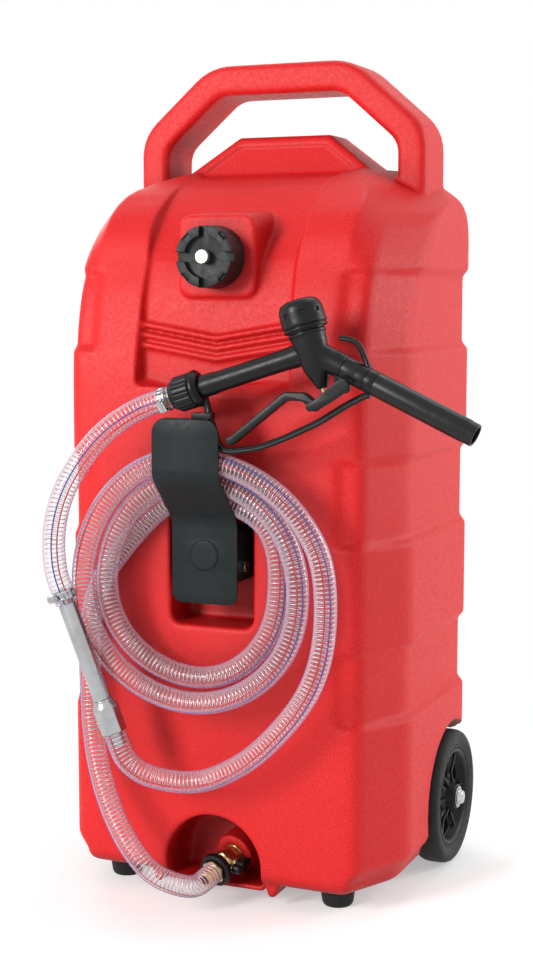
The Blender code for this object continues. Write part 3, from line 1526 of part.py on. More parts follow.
def nozzle_cap():
    """The domed screw cap over the nozzle's valve chamber."""
    base = TOWER_RISE + CLEARANCE
    top = TOWER_RISE - TOWER_CAP_WALL + TOWER_CAP_HEIGHT
    plug = TOWER_BORE - CLEARANCE
    radius = TOWER_CAP_RADIUS
    skirt = TOWER_RISE - TOWER_CAP_WALL * 2
    inner = TOWER_TOP_RADIUS + CLEARANCE
    profile = [
        (0, base - TOWER_CAP_WALL),
        (plug, base - TOWER_CAP_WALL),
        (plug, base),
        (inner, base),
        (inner, skirt),
        (radius - CAP_WALL / 3, skirt),
        (radius, skirt + TOWER_CAP_WALL / 2),
        (radius, skirt + TOWER_CAP_HEIGHT / 3),
    ]
    profile += [(radius * wide, skirt + (top - skirt) * high) for wide, high in TOWER_CAP_SHARES]
    cap = turned("nozzle_cap", profile, BLACK_PLASTIC, tower_frame(), ROUND_SIDES)
    for number in range(TOWER_CAP_NOTCHES):
        half = TOWER_CAP_NOTCH / 2
        low = (radius * TOWER_NOTCH_SHARES[0], -half, skirt + TOWER_CAP_HEIGHT * TOWER_NOTCH_SHARES[1])
        high = (radius + OVERRUN, half, skirt + TOWER_CAP_HEIGHT * TOWER_NOTCH_SHARES[2])
        turn = Matrix.Rotation(2 * math.pi * (number + HALF_STEP) / TOWER_CAP_NOTCHES, 4, "Z")
        cut(cap, box("nozzle_notch_" + str(number), low, high, BLACK_PLASTIC, tower_frame() @ turn))
    return cap


def trigger_distance():
    """Distance down the tower's line from the nozzle's middle to the trigger's upper face."""
    near = Vector(TRIGGER_SHARES[0]) * NOZZLE_SPAN + Vector((TRIGGER_X, -TRIGGER_DROP))
    along = (Vector(TRIGGER_SHARES[1]) - Vector(TRIGGER_SHARES[0])).normalized()
    normal = Vector((along.y, -along.x))
    down = Vector((math.sin(GRIP_TILT), -math.cos(GRIP_TILT)))
    return (near + normal * TRIGGER_THICK / 2).dot(normal) / down.dot(normal)


def nozzle_poppet():
    """The nozzle's valve disc and its stem, which the trigger pushes up."""
    seat = -TOWER_BORE_DROP + CLEARANCE
    tip = -trigger_distance() + POPPET_STEM / 4 + CLEARANCE
    profile = [
        (0, tip),
        (POPPET_STEM, tip),
        (POPPET_STEM, seat),
        (POPPET_RADIUS, seat),
        (POPPET_RADIUS, seat + POPPET_THICK),
        (POPPET_STEM, seat + POPPET_THICK),
        (POPPET_STEM, seat + POPPET_THICK * 2),
        (0, seat + POPPET_THICK * 2),
    ]
    return turned("nozzle_poppet", profile, BRASS, tower_frame(), FINE_SIDES)


def poppet_spring():
    """The spring over the nozzle's valve disc, one wire wound about the stem."""
    low = -TOWER_BORE_DROP + CLEARANCE * 2 + POPPET_THICK
    high = TOWER_RISE - TOWER_CAP_WALL
    wire = POPPET_STEM / 4
    low += wire + CLEARANCE
    high -= wire + CLEARANCE
    radius = (POPPET_STEM + POPPET_RADIUS) / 2
    count = SPRING_TURNS * SPRING_STEPS
    points = []
    for i in range(count + 1):
        angle = 2 * math.pi * i / SPRING_STEPS
        level = low + (high - low) * i / count
        points.append(Vector((radius * math.cos(angle), radius * math.sin(angle), level)))
    gap = (high - low) / SPRING_TURNS - 2 * wire
    print("poppet_spring: least gap between turns, mm:", round(gap * 1000, 2))
    curve = bpy.data.curves.new("poppet_spring", "CURVE")
    curve.dimensions = "3D"
    curve.bevel_depth = wire
    curve.bevel_resolution = 1
    curve.use_fill_caps = True
    line = curve.splines.new("POLY")
    line.points.add(len(points) - 1)
    for slot, point in zip(line.points, points):
        slot.co = (*point, 1)
    curve.materials.append(STEEL)
    spring = bpy.data.objects.new("poppet_spring", curve)
    bpy.context.scene.collection.objects.link(spring)
    spring.parent = ASSEMBLY
    spring.matrix_local = tower_frame()
    return spring


def nozzle_spout():
    """The spout tube, open at its end."""
    inner = SPOUT_RADIUS - SPOUT_WALL
    start, end = SPOUT_START, SPOUT_START + SPOUT_LENGTH
    bevel = SPOUT_WALL / 3
    profile = [
        (inner, start),
        (SPOUT_RADIUS, start),
        (SPOUT_RADIUS, end - bevel),
        (SPOUT_RADIUS - bevel, end),
        (inner, end),
    ]
    place = frame_along(spout_line(), nozzle_middle(), Y_AXIS)
    return turned("nozzle_spout", profile, BLACK_PLASTIC, place, MIDDLE_SIDES, True)


def path_in_nozzle(shares):
    return [nozzle_point(pair) for pair in shares]


def spout_hook():
    """The hook that catches a can's rim, on a clip around the spout."""
    inner = SPOUT_RADIUS + CLEARANCE
    outer = inner + HOOK_CLIP
    low, high = HOOK_AT, HOOK_AT + HOOK_CLIP_LENGTH
    profile = [(inner, low), (inner, high), (outer, high), (outer, low)]
    place = frame_along(spout_line(), nozzle_middle(), Y_AXIS)
    clip = turned("spout_hook", profile, BLACK_PLASTIC, place, MIDDLE_SIDES, True)
    outline = bar_outline(path_in_nozzle(HOOK_SHARES), HOOK_RADIUS * 2)
    front = -NOZZLE_REACH - HOOK_RADIUS
    blade = slab("hook_blade", outline, front, front + HOOK_RADIUS * 2, BLACK_PLASTIC)
    clear = [(0, low - OVERRUN), (inner, low - OVERRUN), (inner, high + OVERRUN), (0, high + OVERRUN)]
    join(clip, blade)
    cut(clip, turned("hook_way", clear, BLACK_PLASTIC, place, MIDDLE_SIDES))
    return clip


def trigger_guard():
    """The guard: collar around the grip, strap behind the bracket, bar under the trigger."""
    start, end = COLLAR_START, COLLAR_START + COLLAR_LENGTH
    inner = collar_bore()
    bevel = COLLAR_LENGTH / 6
    profile = [
        (inner, start),
        (inner, end),
        (COLLAR_RADIUS - bevel, end),
        (COLLAR_RADIUS, end - bevel),
        (COLLAR_RADIUS, start + bevel),
        (COLLAR_RADIUS - bevel, start),
    ]
    place = frame_along(grip_line(), nozzle_middle(), Y_AXIS)
    guard = turned("trigger_guard", profile, BLACK_PLASTIC, place, ROUND_SIDES, True)
    outline = bar_outline(path_in_nozzle(GUARD_SHARES), GUARD_WIDTH)
    front = -NOZZLE_REACH - NOZZLE_BAR / 2
    join(guard, slab("guard_bar", outline, front, front + NOZZLE_BAR, BLACK_PLASTIC))
    strap = nozzle_point(GUARD_SHARES[-2])
    low_z = BRACKET_TOP + CLEARANCE
    low = (strap[0] - HANGER_LENGTH, -NOZZLE_REACH - HANGER_REACH, low_z)
    high = (strap[0] + GUARD_WIDTH / 2, front + NOZZLE_BAR / 2, low_z + HANGER_HEIGHT)
    join(guard, box("hanger_lug", low, high, BLACK_PLASTIC))
    clear = [(0, start - OVERRUN), (inner, start - OVERRUN), (inner, end + OVERRUN), (0, end + OVERRUN)]
    cut(guard, turned("collar_way", clear, BLACK_PLASTIC, place, FINE_SIDES))
    inner = SPOUT_RADIUS + CLEARANCE
    outer = inner + HOOK_CLIP
    low = HOOK_AT + HOOK_CLIP_LENGTH + GUARD_CLIP_GAP
    high = low + HOOK_CLIP_LENGTH
    place = frame_along(spout_line(), nozzle_middle(), Y_AXIS)
    ring = [(0, low), (outer, low), (outer, high), (0, high)]
    join(guard, turned("guard_clip", ring, BLACK_PLASTIC, place, MIDDLE_SIDES))
    clear = [(0, low - OVERRUN), (inner, low - OVERRUN), (inner, high + OVERRUN), (0, high + OVERRUN)]
    cut(guard, turned("guard_clip_way", clear, BLACK_PLASTIC, place, MIDDLE_SIDES))
    return guard


def collar_bore():
    return BARB_RADIUS + CLEARANCE


def trigger():
    """The trigger lever, modelled about its pin."""
    path = [(NOZZLE_SPAN * x, NOZZLE_SPAN * z) for x, z in TRIGGER_SHARES]
    outline = bar_outline([(TRIGGER_THICK / 2, 0)] + path, TRIGGER_THICK)
    half = TRIGGER_WIDTH / 2
    lever = slab("trigger", outline, -half, half, BLACK_PLASTIC, Matrix.Translation(pivot_point()))
    hole = TRIGGER_PIN_RADIUS + CLEARANCE
    span = Y_AXIS * (half + OVERRUN)
    pivot = pivot_point()
    cut(lever, rod_along("trigger_hole", pivot - span, pivot + span, hole, STEEL, SMALL_SIDES))
    return lever


def trigger_pin():
    half = Y_AXIS * (TRIGGER_WIDTH / 2 + CLEARANCE + LUG_THICK)
    pivot = pivot_point()
    return rod_along("trigger_pin", pivot - half, pivot + half, TRIGGER_PIN_RADIUS, STEEL, SMALL_SIDES)


def nut_start():
    """Distance along the grip line from the nozzle's middle to the nut."""
    return COLLAR_START + COLLAR_LENGTH + CLEARANCE


def nozzle_nut():
    """The grooved nut that holds the hose's tail on the grip."""
    place = frame_along(grip_line(), nozzle_middle() + grip_line() * nut_start(), Y_AXIS)
    sizes = (collar_bore(), NUT_RADIUS, NUT_GROOVE, NUT_TEETH, NUT_LENGTH)
    return toothed_ring("nozzle_nut", *sizes, BLACK_PLASTIC, place)


def hose_end_at_nozzle():
    return nozzle_middle() + grip_line() * (nut_start() + NUT_LENGTH + CLEARANCE)


def nozzle_tail():
    """The hose tail through the collar and the nut, with its barb in the hose."""
    start = GRIP_LENGTH + CLEARANCE
    end = nut_start() + NUT_LENGTH + CLEARANCE + BARB_LENGTH
    profile = [(VALVE_BORE, start), (BARB_RADIUS, start), (BARB_RADIUS, end), (VALVE_BORE, end)]
    place = frame_along(grip_line(), nozzle_middle(), Y_AXIS)
    return turned("nozzle_tail", profile, BRASS, place, SMALL_SIDES, True)


def hermite(start, end, leave, arrive, part):
    """A point on the smooth curve between two points with the given tangents."""
    square, cube = part * part, part**3
    return (
        start * (2 * cube - 3 * square + 1)
        + leave * (cube - 2 * square + part)
        + end * (3 * square - 2 * cube)
        + arrive * (cube - square)
    )


def smooth_route(points, leave, arrive, steps=12):
    """Fine points on a smooth curve through the route's points, with set end directions."""
    spans = [(b - a).length for a, b in zip(points, points[1:])]
    tangents = [leave.normalized()]
    for i in range(1, len(points) - 1):
        before = (points[i] - points[i - 1]) / spans[i - 1]
        after = (points[i + 1] - points[i]) / spans[i]
        tangents.append((before * spans[i] + after * spans[i - 1]) / (spans[i] + spans[i - 1]))
    tangents.append(arrive.normalized())
    fine = []
    for i, span in enumerate(spans):
        ends = (points[i], points[i + 1], tangents[i] * span, tangents[i + 1] * span)
        fine += [hermite(*ends, k / steps) for k in range(steps)]
    fine.append(points[-1])
    return fine


def straight_ended(points, leave, arrive):
    """A route whose two ends run straight for one hose diameter."""
    run = HOSE_RADIUS * 2
    first = points[0] + leave.normalized() * run
    last = points[-1] - arrive.normalized() * run
    middle = smooth_route([first] + points[1:-1] + [last], leave, arrive)
    return [points[0]] + middle + [points[-1]]


def evenly(route, count):
    """That many points at even steps along the route, and the directions there."""
    lengths = [0]
    for a, b in zip(route, route[1:]):
        lengths.append(lengths[-1] + (b - a).length)
    found = []
    at = 0
    for i in range(count):
        goal = lengths[-1] * i / (count - 1)
        while at + 2 < len(route) and lengths[at + 1] < goal:
            at += 1
        part = (goal - lengths[at]) / (lengths[at + 1] - lengths[at])
        found.append(route[at].lerp(route[at + 1], part))
    ways = [(route[1] - route[0]).normalized()]
    for before, after in zip(found, found[2:]):
        ways.append((after - before).normalized())
    ways.append((route[-1] - route[-2]).normalized())
    return found, ways


def hose_rings(route, count, radius_of):
    """Rings of points about the route, turned as little as possible from one to the next."""
    middles, ways = evenly(route, count)
    side = (X_AXIS - ways[0] * X_AXIS.dot(ways[0])).normalized()
    rings = []
    for i, (middle, way) in enumerate(zip(middles, ways)):
        side = (side - way * side.dot(way)).normalized()
        third = way.cross(side)
        ring = []
        for k in range(HOSE_SIDES):
            angle = 2 * math.pi * (k + HALF_STEP) / HOSE_SIDES
            ring.append(middle + (side * math.cos(angle) + third * math.sin(angle)) * radius_of(i))
        rings.append(ring)
    return rings


def route_length(route):
    return sum((b - a).length for a, b in zip(route, route[1:]))


def hose(name, route):
    """A ribbed hose with an open bore along the route."""
    ribs = max(2, round(route_length(route) / RIB_PITCH))
    outer = hose_rings(route, ribs * 2, lambda i: HOSE_RADIUS - RIB_DEPTH * (i % 2))
    inner = hose_rings(route, ribs, lambda i: HOSE_BORE)
    shape = bmesh.new()
    skins = []
    for rings in (outer, inner):
        loops = [[shape.verts.new(point) for point in ring] for ring in rings]
        skins.append(loops)
        for low, high in zip(loops, loops[1:]):
            for i in range(HOSE_SIDES):
                j = (i + 1) % HOSE_SIDES
                shape.faces.new((low[i], low[j], high[j], high[i]))
    for end in (0, -1):
        out, bore = skins[0][end], skins[1][end]
        for i in range(HOSE_SIDES):
            j = (i + 1) % HOSE_SIDES
            shape.faces.new((out[i], out[j], bore[j], bore[i]))
    print(name + ": ribs", ribs, "length, m:", round(route_length(route), 3))
    return finish(name, shape, HOSE_PVC)


def coil_point(quarter):
    """A point of the coil, counted in quarter turns from the top, going round to the right."""
    low = min(int(quarter), len(COIL_QUARTERS) - 2)
    part = quarter - low
    ease = (1 - math.cos(math.pi * part)) / 2
    forward = COIL_QUARTERS[low][1] * (1 - ease) + COIL_QUARTERS[low + 1][1] * ease
    angle = math.pi / 2 * quarter
    start, end = COIL_QUARTERS[low][0], COIL_QUARTERS[low + 1][0]
    reach_low, reach_high = start * math.cos(math.pi / 2 * part), end * math.sin(math.pi / 2 * part)
    if quarter < 1:
        reach_low = start * math.cos(math.pi / 2 * part) ** COIL_FLAT
    if low % 2:
        across, up = reach_low, reach_high
    else:
        across, up = reach_high, reach_low
    x = math.copysign(across, math.sin(angle))
    z = math.copysign(up, math.cos(angle))
    return Vector((COIL_X + x, -forward, COIL_Z + z))


def coil_route():
    """The coil's points: a little over two turns."""
    last = len(COIL_QUARTERS) - 1
    count = COIL_STEPS * last // 4
    return [coil_point(last * i / count) for i in range(count + 1)]


def routes():
    """The hose's four stretches."""
    coil = coil_route()
    enter = (coil[1] - coil[0]).normalized()
    enter = X_AXIS * enter.dot(X_AXIS) + Y_AXIS * enter.dot(Y_AXIS)
    leave = (coil[-1] - coil[-2]).normalized()
    leave = Z_AXIS * leave.dot(Z_AXIS)
    inline = (INLINE_HIGH - INLINE_LOW).normalized()
    tail_end = coil[0] - enter.normalized() * CLEARANCE
    tail = [OUTLET_POINT] + [Vector(point) for point in TAIL_ROUTE] + [tail_end]
    back_start = coil[-1] + leave.normalized() * CLEARANCE
    back = [back_start] + [Vector(point) for point in RETURN_ROUTE] + [INLINE_LOW]
    lead = [INLINE_HIGH] + [Vector(point) for point in LEAD_ROUTE] + [hose_end_at_nozzle()]
    run = HOSE_RADIUS * 2
    first = coil[0] + enter.normalized() * run
    last = coil[-1] - leave.normalized() * run
    middle = smooth_route([first] + coil[2:-2] + [last], enter, leave, 4)
    wound = [coil[0]] + middle + [coil[-1]]
    return {
        "hose_tail": straight_ended(tail, OUTLET_LINE, enter),
        "hose_coil": wound,
        "hose_return": straight_ended(back, leave, inline),
        "hose_lead": straight_ended(lead, inline, -grip_line()),
    }


def least_hose_gap(stretches):
    """The least gap between any two stretches of the hose that aren't neighbours along it."""
    step = HOSE_RADIUS / 4
    points = []
    run = 0
    for route in stretches.values():
        count = int(route_length(route) / step)
        middles, _ = evenly(route, count)
        for i, middle in enumerate(middles):
            points.append((run + step * i, middle))
        run += route_length(route)
    least = None
    for i, (here, a) in enumerate(points):
        for there, b in points[i + 1 :]:
            if there - here > HOSE_RADIUS * NEIGHBOUR_SHARE:
                gap = (b - a).length_squared
                if least is None or gap < least[0]:
                    least = (gap, a, b)
    return math.sqrt(least[0]) - 2 * HOSE_RADIUS, least[1], least[2]


def clamp(name, point, line):
    """A worm-drive clamp: a band around the hose and its screw housing."""
    inner = HOSE_RADIUS + CLEARANCE
    outer = inner + CLAMP_THICK
    half = CLAMP_WIDTH / 2
    place = frame_along(line, point, Y_AXIS)
    profile = [(inner, -half), (inner, half), (outer, half), (outer, -half)]
    band = turned(name, profile, STEEL, place, MIDDLE_SIDES, True)
    low = (outer - CLAMP_THICK / 2, -CLAMP_SCREW * 2, -CLAMP_SCREW)
    high = (outer + CLAMP_SCREW * CLAMP_PROUD_SHARE, CLAMP_SCREW * 2, CLAMP_SCREW)
    turn = Matrix.Rotation(CLAMP_TURN, 4, "Z")
    join(band, box(name + "_housing", low, high, STEEL, place @ turn))
    return band


def inline_tube():
    """The aluminium tube between the coil's end and the lead, with a barb at its upper end."""
    line = (INLINE_HIGH - INLINE_LOW).normalized()
    length = (INLINE_HIGH - INLINE_LOW).length
    start = COUPLING_LENGTH + CLEARANCE
    profile = [
        (VALVE_BORE, start),
        (TUBE_RADIUS, start),
        (TUBE_RADIUS, length - CLEARANCE),
        (BARB_RADIUS, length - CLEARANCE),
        (BARB_RADIUS, length + BARB_LENGTH),
        (VALVE_BORE, length + BARB_LENGTH),
    ]
    return turned("inline_tube", profile, ALUMINIUM, frame_along(line, INLINE_LOW), FINE_SIDES, True)


def tube_coupling():
    """The hexagonal ferrule at the tube's lower end, with a barb in the hose."""
    line = (INLINE_HIGH - INLINE_LOW).normalized()
    radius = COUPLING_HEX
    profile = [
        (VALVE_BORE, -BARB_LENGTH),
        (BARB_RADIUS, -BARB_LENGTH),
        (BARB_RADIUS, CLEARANCE),
        (radius, CLEARANCE),
        (radius, COUPLING_LENGTH * COUPLING_SHOULDER_SHARE),
        (TUBE_RADIUS, COUPLING_LENGTH),
        (VALVE_BORE, COUPLING_LENGTH),
    ]
    return turned("tube_coupling", profile, ALUMINIUM, frame_along(line, INLINE_LOW), SMALL_SIDES, True)


def centre_on_base():
    """Stands the object, without its hose, centred on the origin."""
    bpy.context.view_layer.update()
    graph = bpy.context.evaluated_depsgraph_get()
    corners = []
    for piece in bpy.context.scene.objects:
        if piece.type == "EMPTY" or piece.hide_render or piece.name in ON_HOSE:
            continue
        shown = piece.evaluated_get(graph)
        mesh = shown.to_mesh()
        corners += [shown.matrix_world @ vertex.co for vertex in mesh.vertices]
        shown.to_mesh_clear()
    low = [min(corner[axis] for corner in corners) for axis in range(3)]
    high = [max(corner[axis] for corner in corners) for axis in range(3)]
    ASSEMBLY.location = (-(low[0] + high[0]) / 2, -(low[1] + high[1]) / 2, -low[2])
    bpy.context.view_layer.update()
    print("assembly frame at", [round(value, 6) for value in ASSEMBLY.location])


def build():
    tank_shell()
    fuel_cap()
    cap_gasket()
    vent_pin()
    hose_bracket()
    for number, place in enumerate(bracket_screw_places()):
        bracket_screw(number, place)
    cross_bolt()
    cross_nut()
    outlet_insert()
    valve_body()
    valve_ball()
    valve_knob()
    union_nut()
    outlet_barb()
    axle_line = Vector((0, WHEEL_BACK, WHEEL_RADIUS))
    span = X_AXIS * axle_half()
    rod_along("axle", axle_line - span, axle_line + span, AXLE_RADIUS, STEEL)
    for side, word in ((-1, "left"), (1, "right")):
        tyre(word, side)
        rim(word, side)
        bush(word, side)
        washer("washer_inner_" + word, side, -WASHER_THICK - CLEARANCE)
        washer("washer_outer_" + word, side, HUB_WIDTH + CLEARANCE)
        push_cap(word, side)
        foot(word, side)
        foot_screw(word, side)
    nozzle_body()
    nozzle_cap()
    nozzle_poppet()
    poppet_spring()
    nozzle_spout()
    spout_hook()
    trigger_guard()
    trigger()
    trigger_pin()
    nozzle_nut()
    nozzle_tail()
    stretches = routes()
    for name, route in stretches.items():
        hose(name, route)
    gap, here, there = least_hose_gap(stretches)
    print("hose: least gap to itself, mm:", round(gap * 1000, 2), "near", here, there)
    inline_tube()
    tube_coupling()
    line = (INLINE_HIGH - INLINE_LOW).normalized()
    clamp("clamp_lead", INLINE_HIGH + line * CLAMP_INSET, line)
    clamp("clamp_nozzle", hose_end_at_nozzle() + grip_line() * CLAMP_INSET, grip_line())
    centre_on_base()


build()
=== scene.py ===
"""The looks of a wheeled fuel tank with a coiled hose and a hand nozzle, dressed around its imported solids."""

from math import atan2, copysign, cos, pi, radians, sin, sqrt

import bmesh
import bpy
from mathutils import Matrix, Vector


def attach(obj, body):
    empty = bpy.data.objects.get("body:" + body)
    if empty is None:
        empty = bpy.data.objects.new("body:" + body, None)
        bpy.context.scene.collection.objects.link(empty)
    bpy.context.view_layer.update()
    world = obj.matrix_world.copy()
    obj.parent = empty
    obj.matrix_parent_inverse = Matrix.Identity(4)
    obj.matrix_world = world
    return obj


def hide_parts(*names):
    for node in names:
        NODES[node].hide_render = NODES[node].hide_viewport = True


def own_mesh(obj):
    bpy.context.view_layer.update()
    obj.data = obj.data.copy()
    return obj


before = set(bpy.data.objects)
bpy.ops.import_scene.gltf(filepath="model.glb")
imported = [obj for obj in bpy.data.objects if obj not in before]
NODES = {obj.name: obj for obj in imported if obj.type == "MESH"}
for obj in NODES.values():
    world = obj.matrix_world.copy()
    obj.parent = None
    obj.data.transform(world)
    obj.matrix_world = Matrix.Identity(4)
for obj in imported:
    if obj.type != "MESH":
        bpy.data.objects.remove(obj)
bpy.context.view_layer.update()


def at(x, y, z):
    return Vector((x, y, z))


# The tank's own middle in the shared frame
OFFSET = at(-0.049513, 0.03905, 0.0)
X_AXIS, Y_AXIS, Z_AXIS = at(1, 0, 0), at(0, 1, 0), at(0, 0, 1)

# Camera and light; each lamp has a name, a place, a size and a power
CAMERA_PLACE = at(0.7890, -1.8525, 0.7015)
CAMERA_TURN = radians(23.07)
CAMERA_DIP = radians(6.754)
CAMERA_LENS = 61.92
WORLD_FILL = 0.30
FLOOR_HALF = 7.0
FLOOR_LIFT = 0.40
FLOOR_MIDDLE = (-0.02, 0.0, 0.0)
FLOOR_SHADED = 0.32
FLOOR_WHITE = 0.85
LAMP_TARGET = at(-0.05, 0.0, 0.5)
LAMPS = (
    ("lamp_key", (-1.5, -3.0, 1.5), (0.9, 1.3), 86),
    ("lamp_right", (2.2, 1.35, 1.2), (0.7, 1.8), 34),
    ("lamp_top", (0.1, 0.9, 2.6), (1.5, 1.0), 11),
    ("lamp_back", (-1.7, 1.6, 1.4), (0.9, 1.6), 14),
)

# Hose
HOSE_RADIUS = 0.0128
WIRE_PITCH = 0.0050
WIRE_REACH = 0.0113
WIRE_RADIUS = 0.00058
LINE_REACH = 0.0121
LINE_RADIUS = 0.0008
HOSE_SIDES = 20
HOSE_DIP = 0.0003
# Step along a hose for its lines and for easing its route
LINE_STEP = 0.004
CLEARANCE = 0.0003
OUTLET_POINT = at(0.0063, -0.172, 0.0382)
OUTLET_LINE = at(-0.20, -0.95, -0.24).normalized()
TAIL_ROUTE = (
    (-0.0145, -0.222, 0.0385), (-0.0405, -0.234, 0.0530), (-0.0640, -0.232, 0.0735),
    (-0.0875, -0.223, 0.0985), (-0.1090, -0.211, 0.1285), (-0.1260, -0.199, 0.1620),
    (-0.1380, -0.188, 0.2000), (-0.1450, -0.179, 0.2450), (-0.1480, -0.1745, 0.2900),
    (-0.1445, -0.1735, 0.3330), (-0.1300, -0.1733, 0.3720), (-0.1070, -0.1733, 0.4040),
    (-0.0820, -0.1733, 0.4320), (-0.0600, -0.1733, 0.4525), (-0.0390, -0.1733, 0.4660),
)
RETURN_ROUTE = (
    (0.1530, -0.2090, 0.3100), (0.1380, -0.2090, 0.2700), (0.1062, -0.2090, 0.2252),
    (0.0529, -0.2090, 0.1772), (0.0060, -0.2110, 0.1560), (-0.0330, -0.2165, 0.1555),
    (-0.0600, -0.2215, 0.1630),
)
LEAD_ROUTE = (
    (-0.1510, -0.2490, 0.4150), (-0.1420, -0.2485, 0.4680), (-0.1200, -0.2430, 0.5120),
    (-0.0900, -0.2340, 0.5480),
)
COIL_X = -0.006
COIL_Z = 0.372
# Reach and distance in front at each quarter of a turn
COIL_QUARTERS = (
    (0.0980, 0.1733), (0.0966, 0.1780), (0.1040, 0.1850), (0.1040, 0.2020), (0.1226, 0.1925),
    (0.1293, 0.1980), (0.1290, 0.2030), (0.1275, 0.2160), (0.1455, 0.2095), (0.1645, 0.2090),
)
COIL_STEPS = 24
COIL_FLAT = 0.55
COIL_EASE = 0.100
EASE_ROUNDS = 90
INLINE_LOW = at(-0.0878, -0.2290, 0.2073)
INLINE_HIGH = at(-0.1369, -0.2460, 0.3539)
INLINE = (INLINE_HIGH - INLINE_LOW).normalized()
TAIL_INSERT = 0.016

# Nozzle
NOZZLE_MIDDLE = at(0.145, -0.2185, 0.637)
GRIP_TILT = radians(17.6)
SPOUT_TILT = radians(25.0)
GRIP_LINE = at(-cos(GRIP_TILT), 0, -sin(GRIP_TILT))
TOWER_LINE = at(-sin(GRIP_TILT), 0, cos(GRIP_TILT))
SPOUT_LINE = at(cos(SPOUT_TILT), 0, -sin(SPOUT_TILT))
COLLAR_START = 0.1335
COLLAR_LENGTH = 0.0085
NUT_START = COLLAR_START + COLLAR_LENGTH + CLEARANCE
NUT_LENGTH = 0.0270
HOSE_END = NOZZLE_MIDDLE + GRIP_LINE * (NUT_START + NUT_LENGTH + CLEARANCE)
GRIP_LENGTH = 0.132
TOWER_RISE = 0.030
TOWER_DROP = 0.0405
SOCKET_LENGTH = 0.040
SPOUT_START = 0.018
SPOUT_END = 0.196
HOOK_START = 0.0565
RING_LENGTH = 0.0105
RING_BORE = 0.0123
RING_RADIUS = 0.0128
SPOUT_BORE = 0.0098
LUG_THICK = 0.003
TRIGGER_WIDTH = 0.0105
TRIGGER_THICK = 0.0090
PIVOT = NOZZLE_MIDDLE + at(0.034, 0, -0.038)
SPRING_TURNS = 5
SPRING_STEPS = 20
NOZZLE_SPAN = 0.100
# Points in the nozzle's upright plane, as shares of its span
GUARD_SHARES = (
    (0.640, -0.445), (0.590, -0.450), (0.376, -0.562), (0.078, -0.745), (-0.301, -0.921),
    (-0.609, -1.039), (-0.949, -1.089), (-1.062, -1.070), (-1.150, -0.831), (-1.235, -0.530),
)
TRIGGER_SHARES = (
    (0.000, 0.000), (-0.218, -0.117), (-0.300, -0.202), (-0.420, -0.098), (-0.630, -0.098),
    (-1.250, -0.585), (-1.320, -0.606),
)
HOOK_SHARES = ((0.308, 0.140), (0.445, 0.125), (0.530, 0.060), (0.620, -0.155))

# Share of an edge that a soft bend may take, and angles from which edges are sharp or bevelled
BEND_SHARE = 0.45
SMOOTH_ANGLE = 40
EDGE_ANGLE = 35
BEVEL_ANGLE = 50

# Tank
TANK_VOXEL = 0.0022
TANK_SOFTEN = 6
TANK_KEEP = 0.35
HALF_WIDTH = 0.2125
FRONT_REACH = 0.160
BACK_REACH = 0.150
CORNER_HALF_WIDTH = 0.176
CORNER_REACH = 0.158
SIDE_REACH = 0.083
BACK_CHAMFER = 0.018
BASE_HEIGHT = 0.0250
BASE_ROUNDING = 0.015
BASE_NARROW = 0.012
BASE_NARROW_RISE = 0.016
SHOULDER_BASE = 0.560
SHOULDER_RISE = 0.282
SHELL_LEVELS = 130
SHELL_BEND = 0.012
FRONT_SWEEP = 0.200
SIDE_SWEEP = 0.170
BACK_SWEEP = 0.040
GROOVE_DEPTH = 0.007
GROOVE_SLOPE = 0.008
GROOVE_END = 0.146
GROOVES = ((0.220, 0.081), (0.4216, 0.091), (0.634, 0.0865))
# Each row: height, front, corner and side sweeps, corner and side widths, back sweep
SHOULDER_SHARES = (
    (0.00, 0.000, 0.000, 0.000, 1.000, 1.000, 0.00),
    (0.14, 0.005, 0.003, 0.000, 1.000, 1.000, 0.00),
    (0.29, 0.030, 0.015, 0.012, 1.000, 1.000, 0.00),
    (0.46, 0.075, 0.060, 0.110, 1.000, 1.000, 0.00),
    (0.61, 0.145, 0.165, 0.220, 1.000, 1.000, 0.00),
    (0.71, 0.195, 0.290, 0.370, 1.000, 1.000, 0.00),
    (0.79, 0.270, 0.440, 0.510, 1.000, 0.993, 0.02),
    (0.835, 0.340, 0.590, 0.690, 1.000, 0.979, 0.05),
    (0.87, 0.410, 0.760, 0.880, 0.990, 0.955, 0.10),
    (0.905, 0.490, 0.900, 1.000, 0.955, 0.905, 0.22),
    (0.94, 0.625, 0.980, 1.060, 0.880, 0.838, 0.40),
    (0.975, 0.790, 1.040, 1.120, 0.795, 0.762, 0.65),
    (1.00, 0.950, 1.080, 1.130, 0.700, 0.682, 0.85),
)
PANEL_BASE = 0.600
PANEL_RISE = 0.238
PANEL_REACH = 0.1425
PANEL_SWEEP = 0.180
PANEL_HALF_WIDTH = 0.090
PANEL_FLARE = 0.045
PANEL_DROP = 0.022
PANEL_LEVELS = 24
# Each row: height and sweep
PANEL_SHARES = (
    (0.00, 0.000), (0.31, 0.022), (0.52, 0.086), (0.685, 0.231), (0.857, 0.447), (0.95, 0.658),
    (1.00, 0.980),
)
CHEVRON_LOW = 0.6235
CHEVRON_STEP = 0.0115
CHEVRON_RISE = 0.0155
CHEVRON_THICK = 0.0055
CHEVRON_PROUD = 0.0035
HANDLE_FRONT = 0.035
HANDLE_DEPTH = 0.080
HANDLE_HALF_WIDTH = 0.185
HANDLE_TOP = 0.970
HANDLE_CORNER_HALF = 0.092
HANDLE_CORNER_HEIGHT = 0.889
HANDLE_FOOT = 0.800
HANDLE_THICK = 0.036
HANDLE_ROUND = 0.009
HANDLE_OUTER_BEND = 0.026
HANDLE_INNER_BEND = 0.014
CREST_HALF_BASE = 0.122
CREST_HALF_TOP = 0.059
CREST_BASE = 0.838
CREST_TOP = 0.885
CREST_FRONT = 0.033
CREST_LEAN = 0.45
CREST_RIM = 0.009
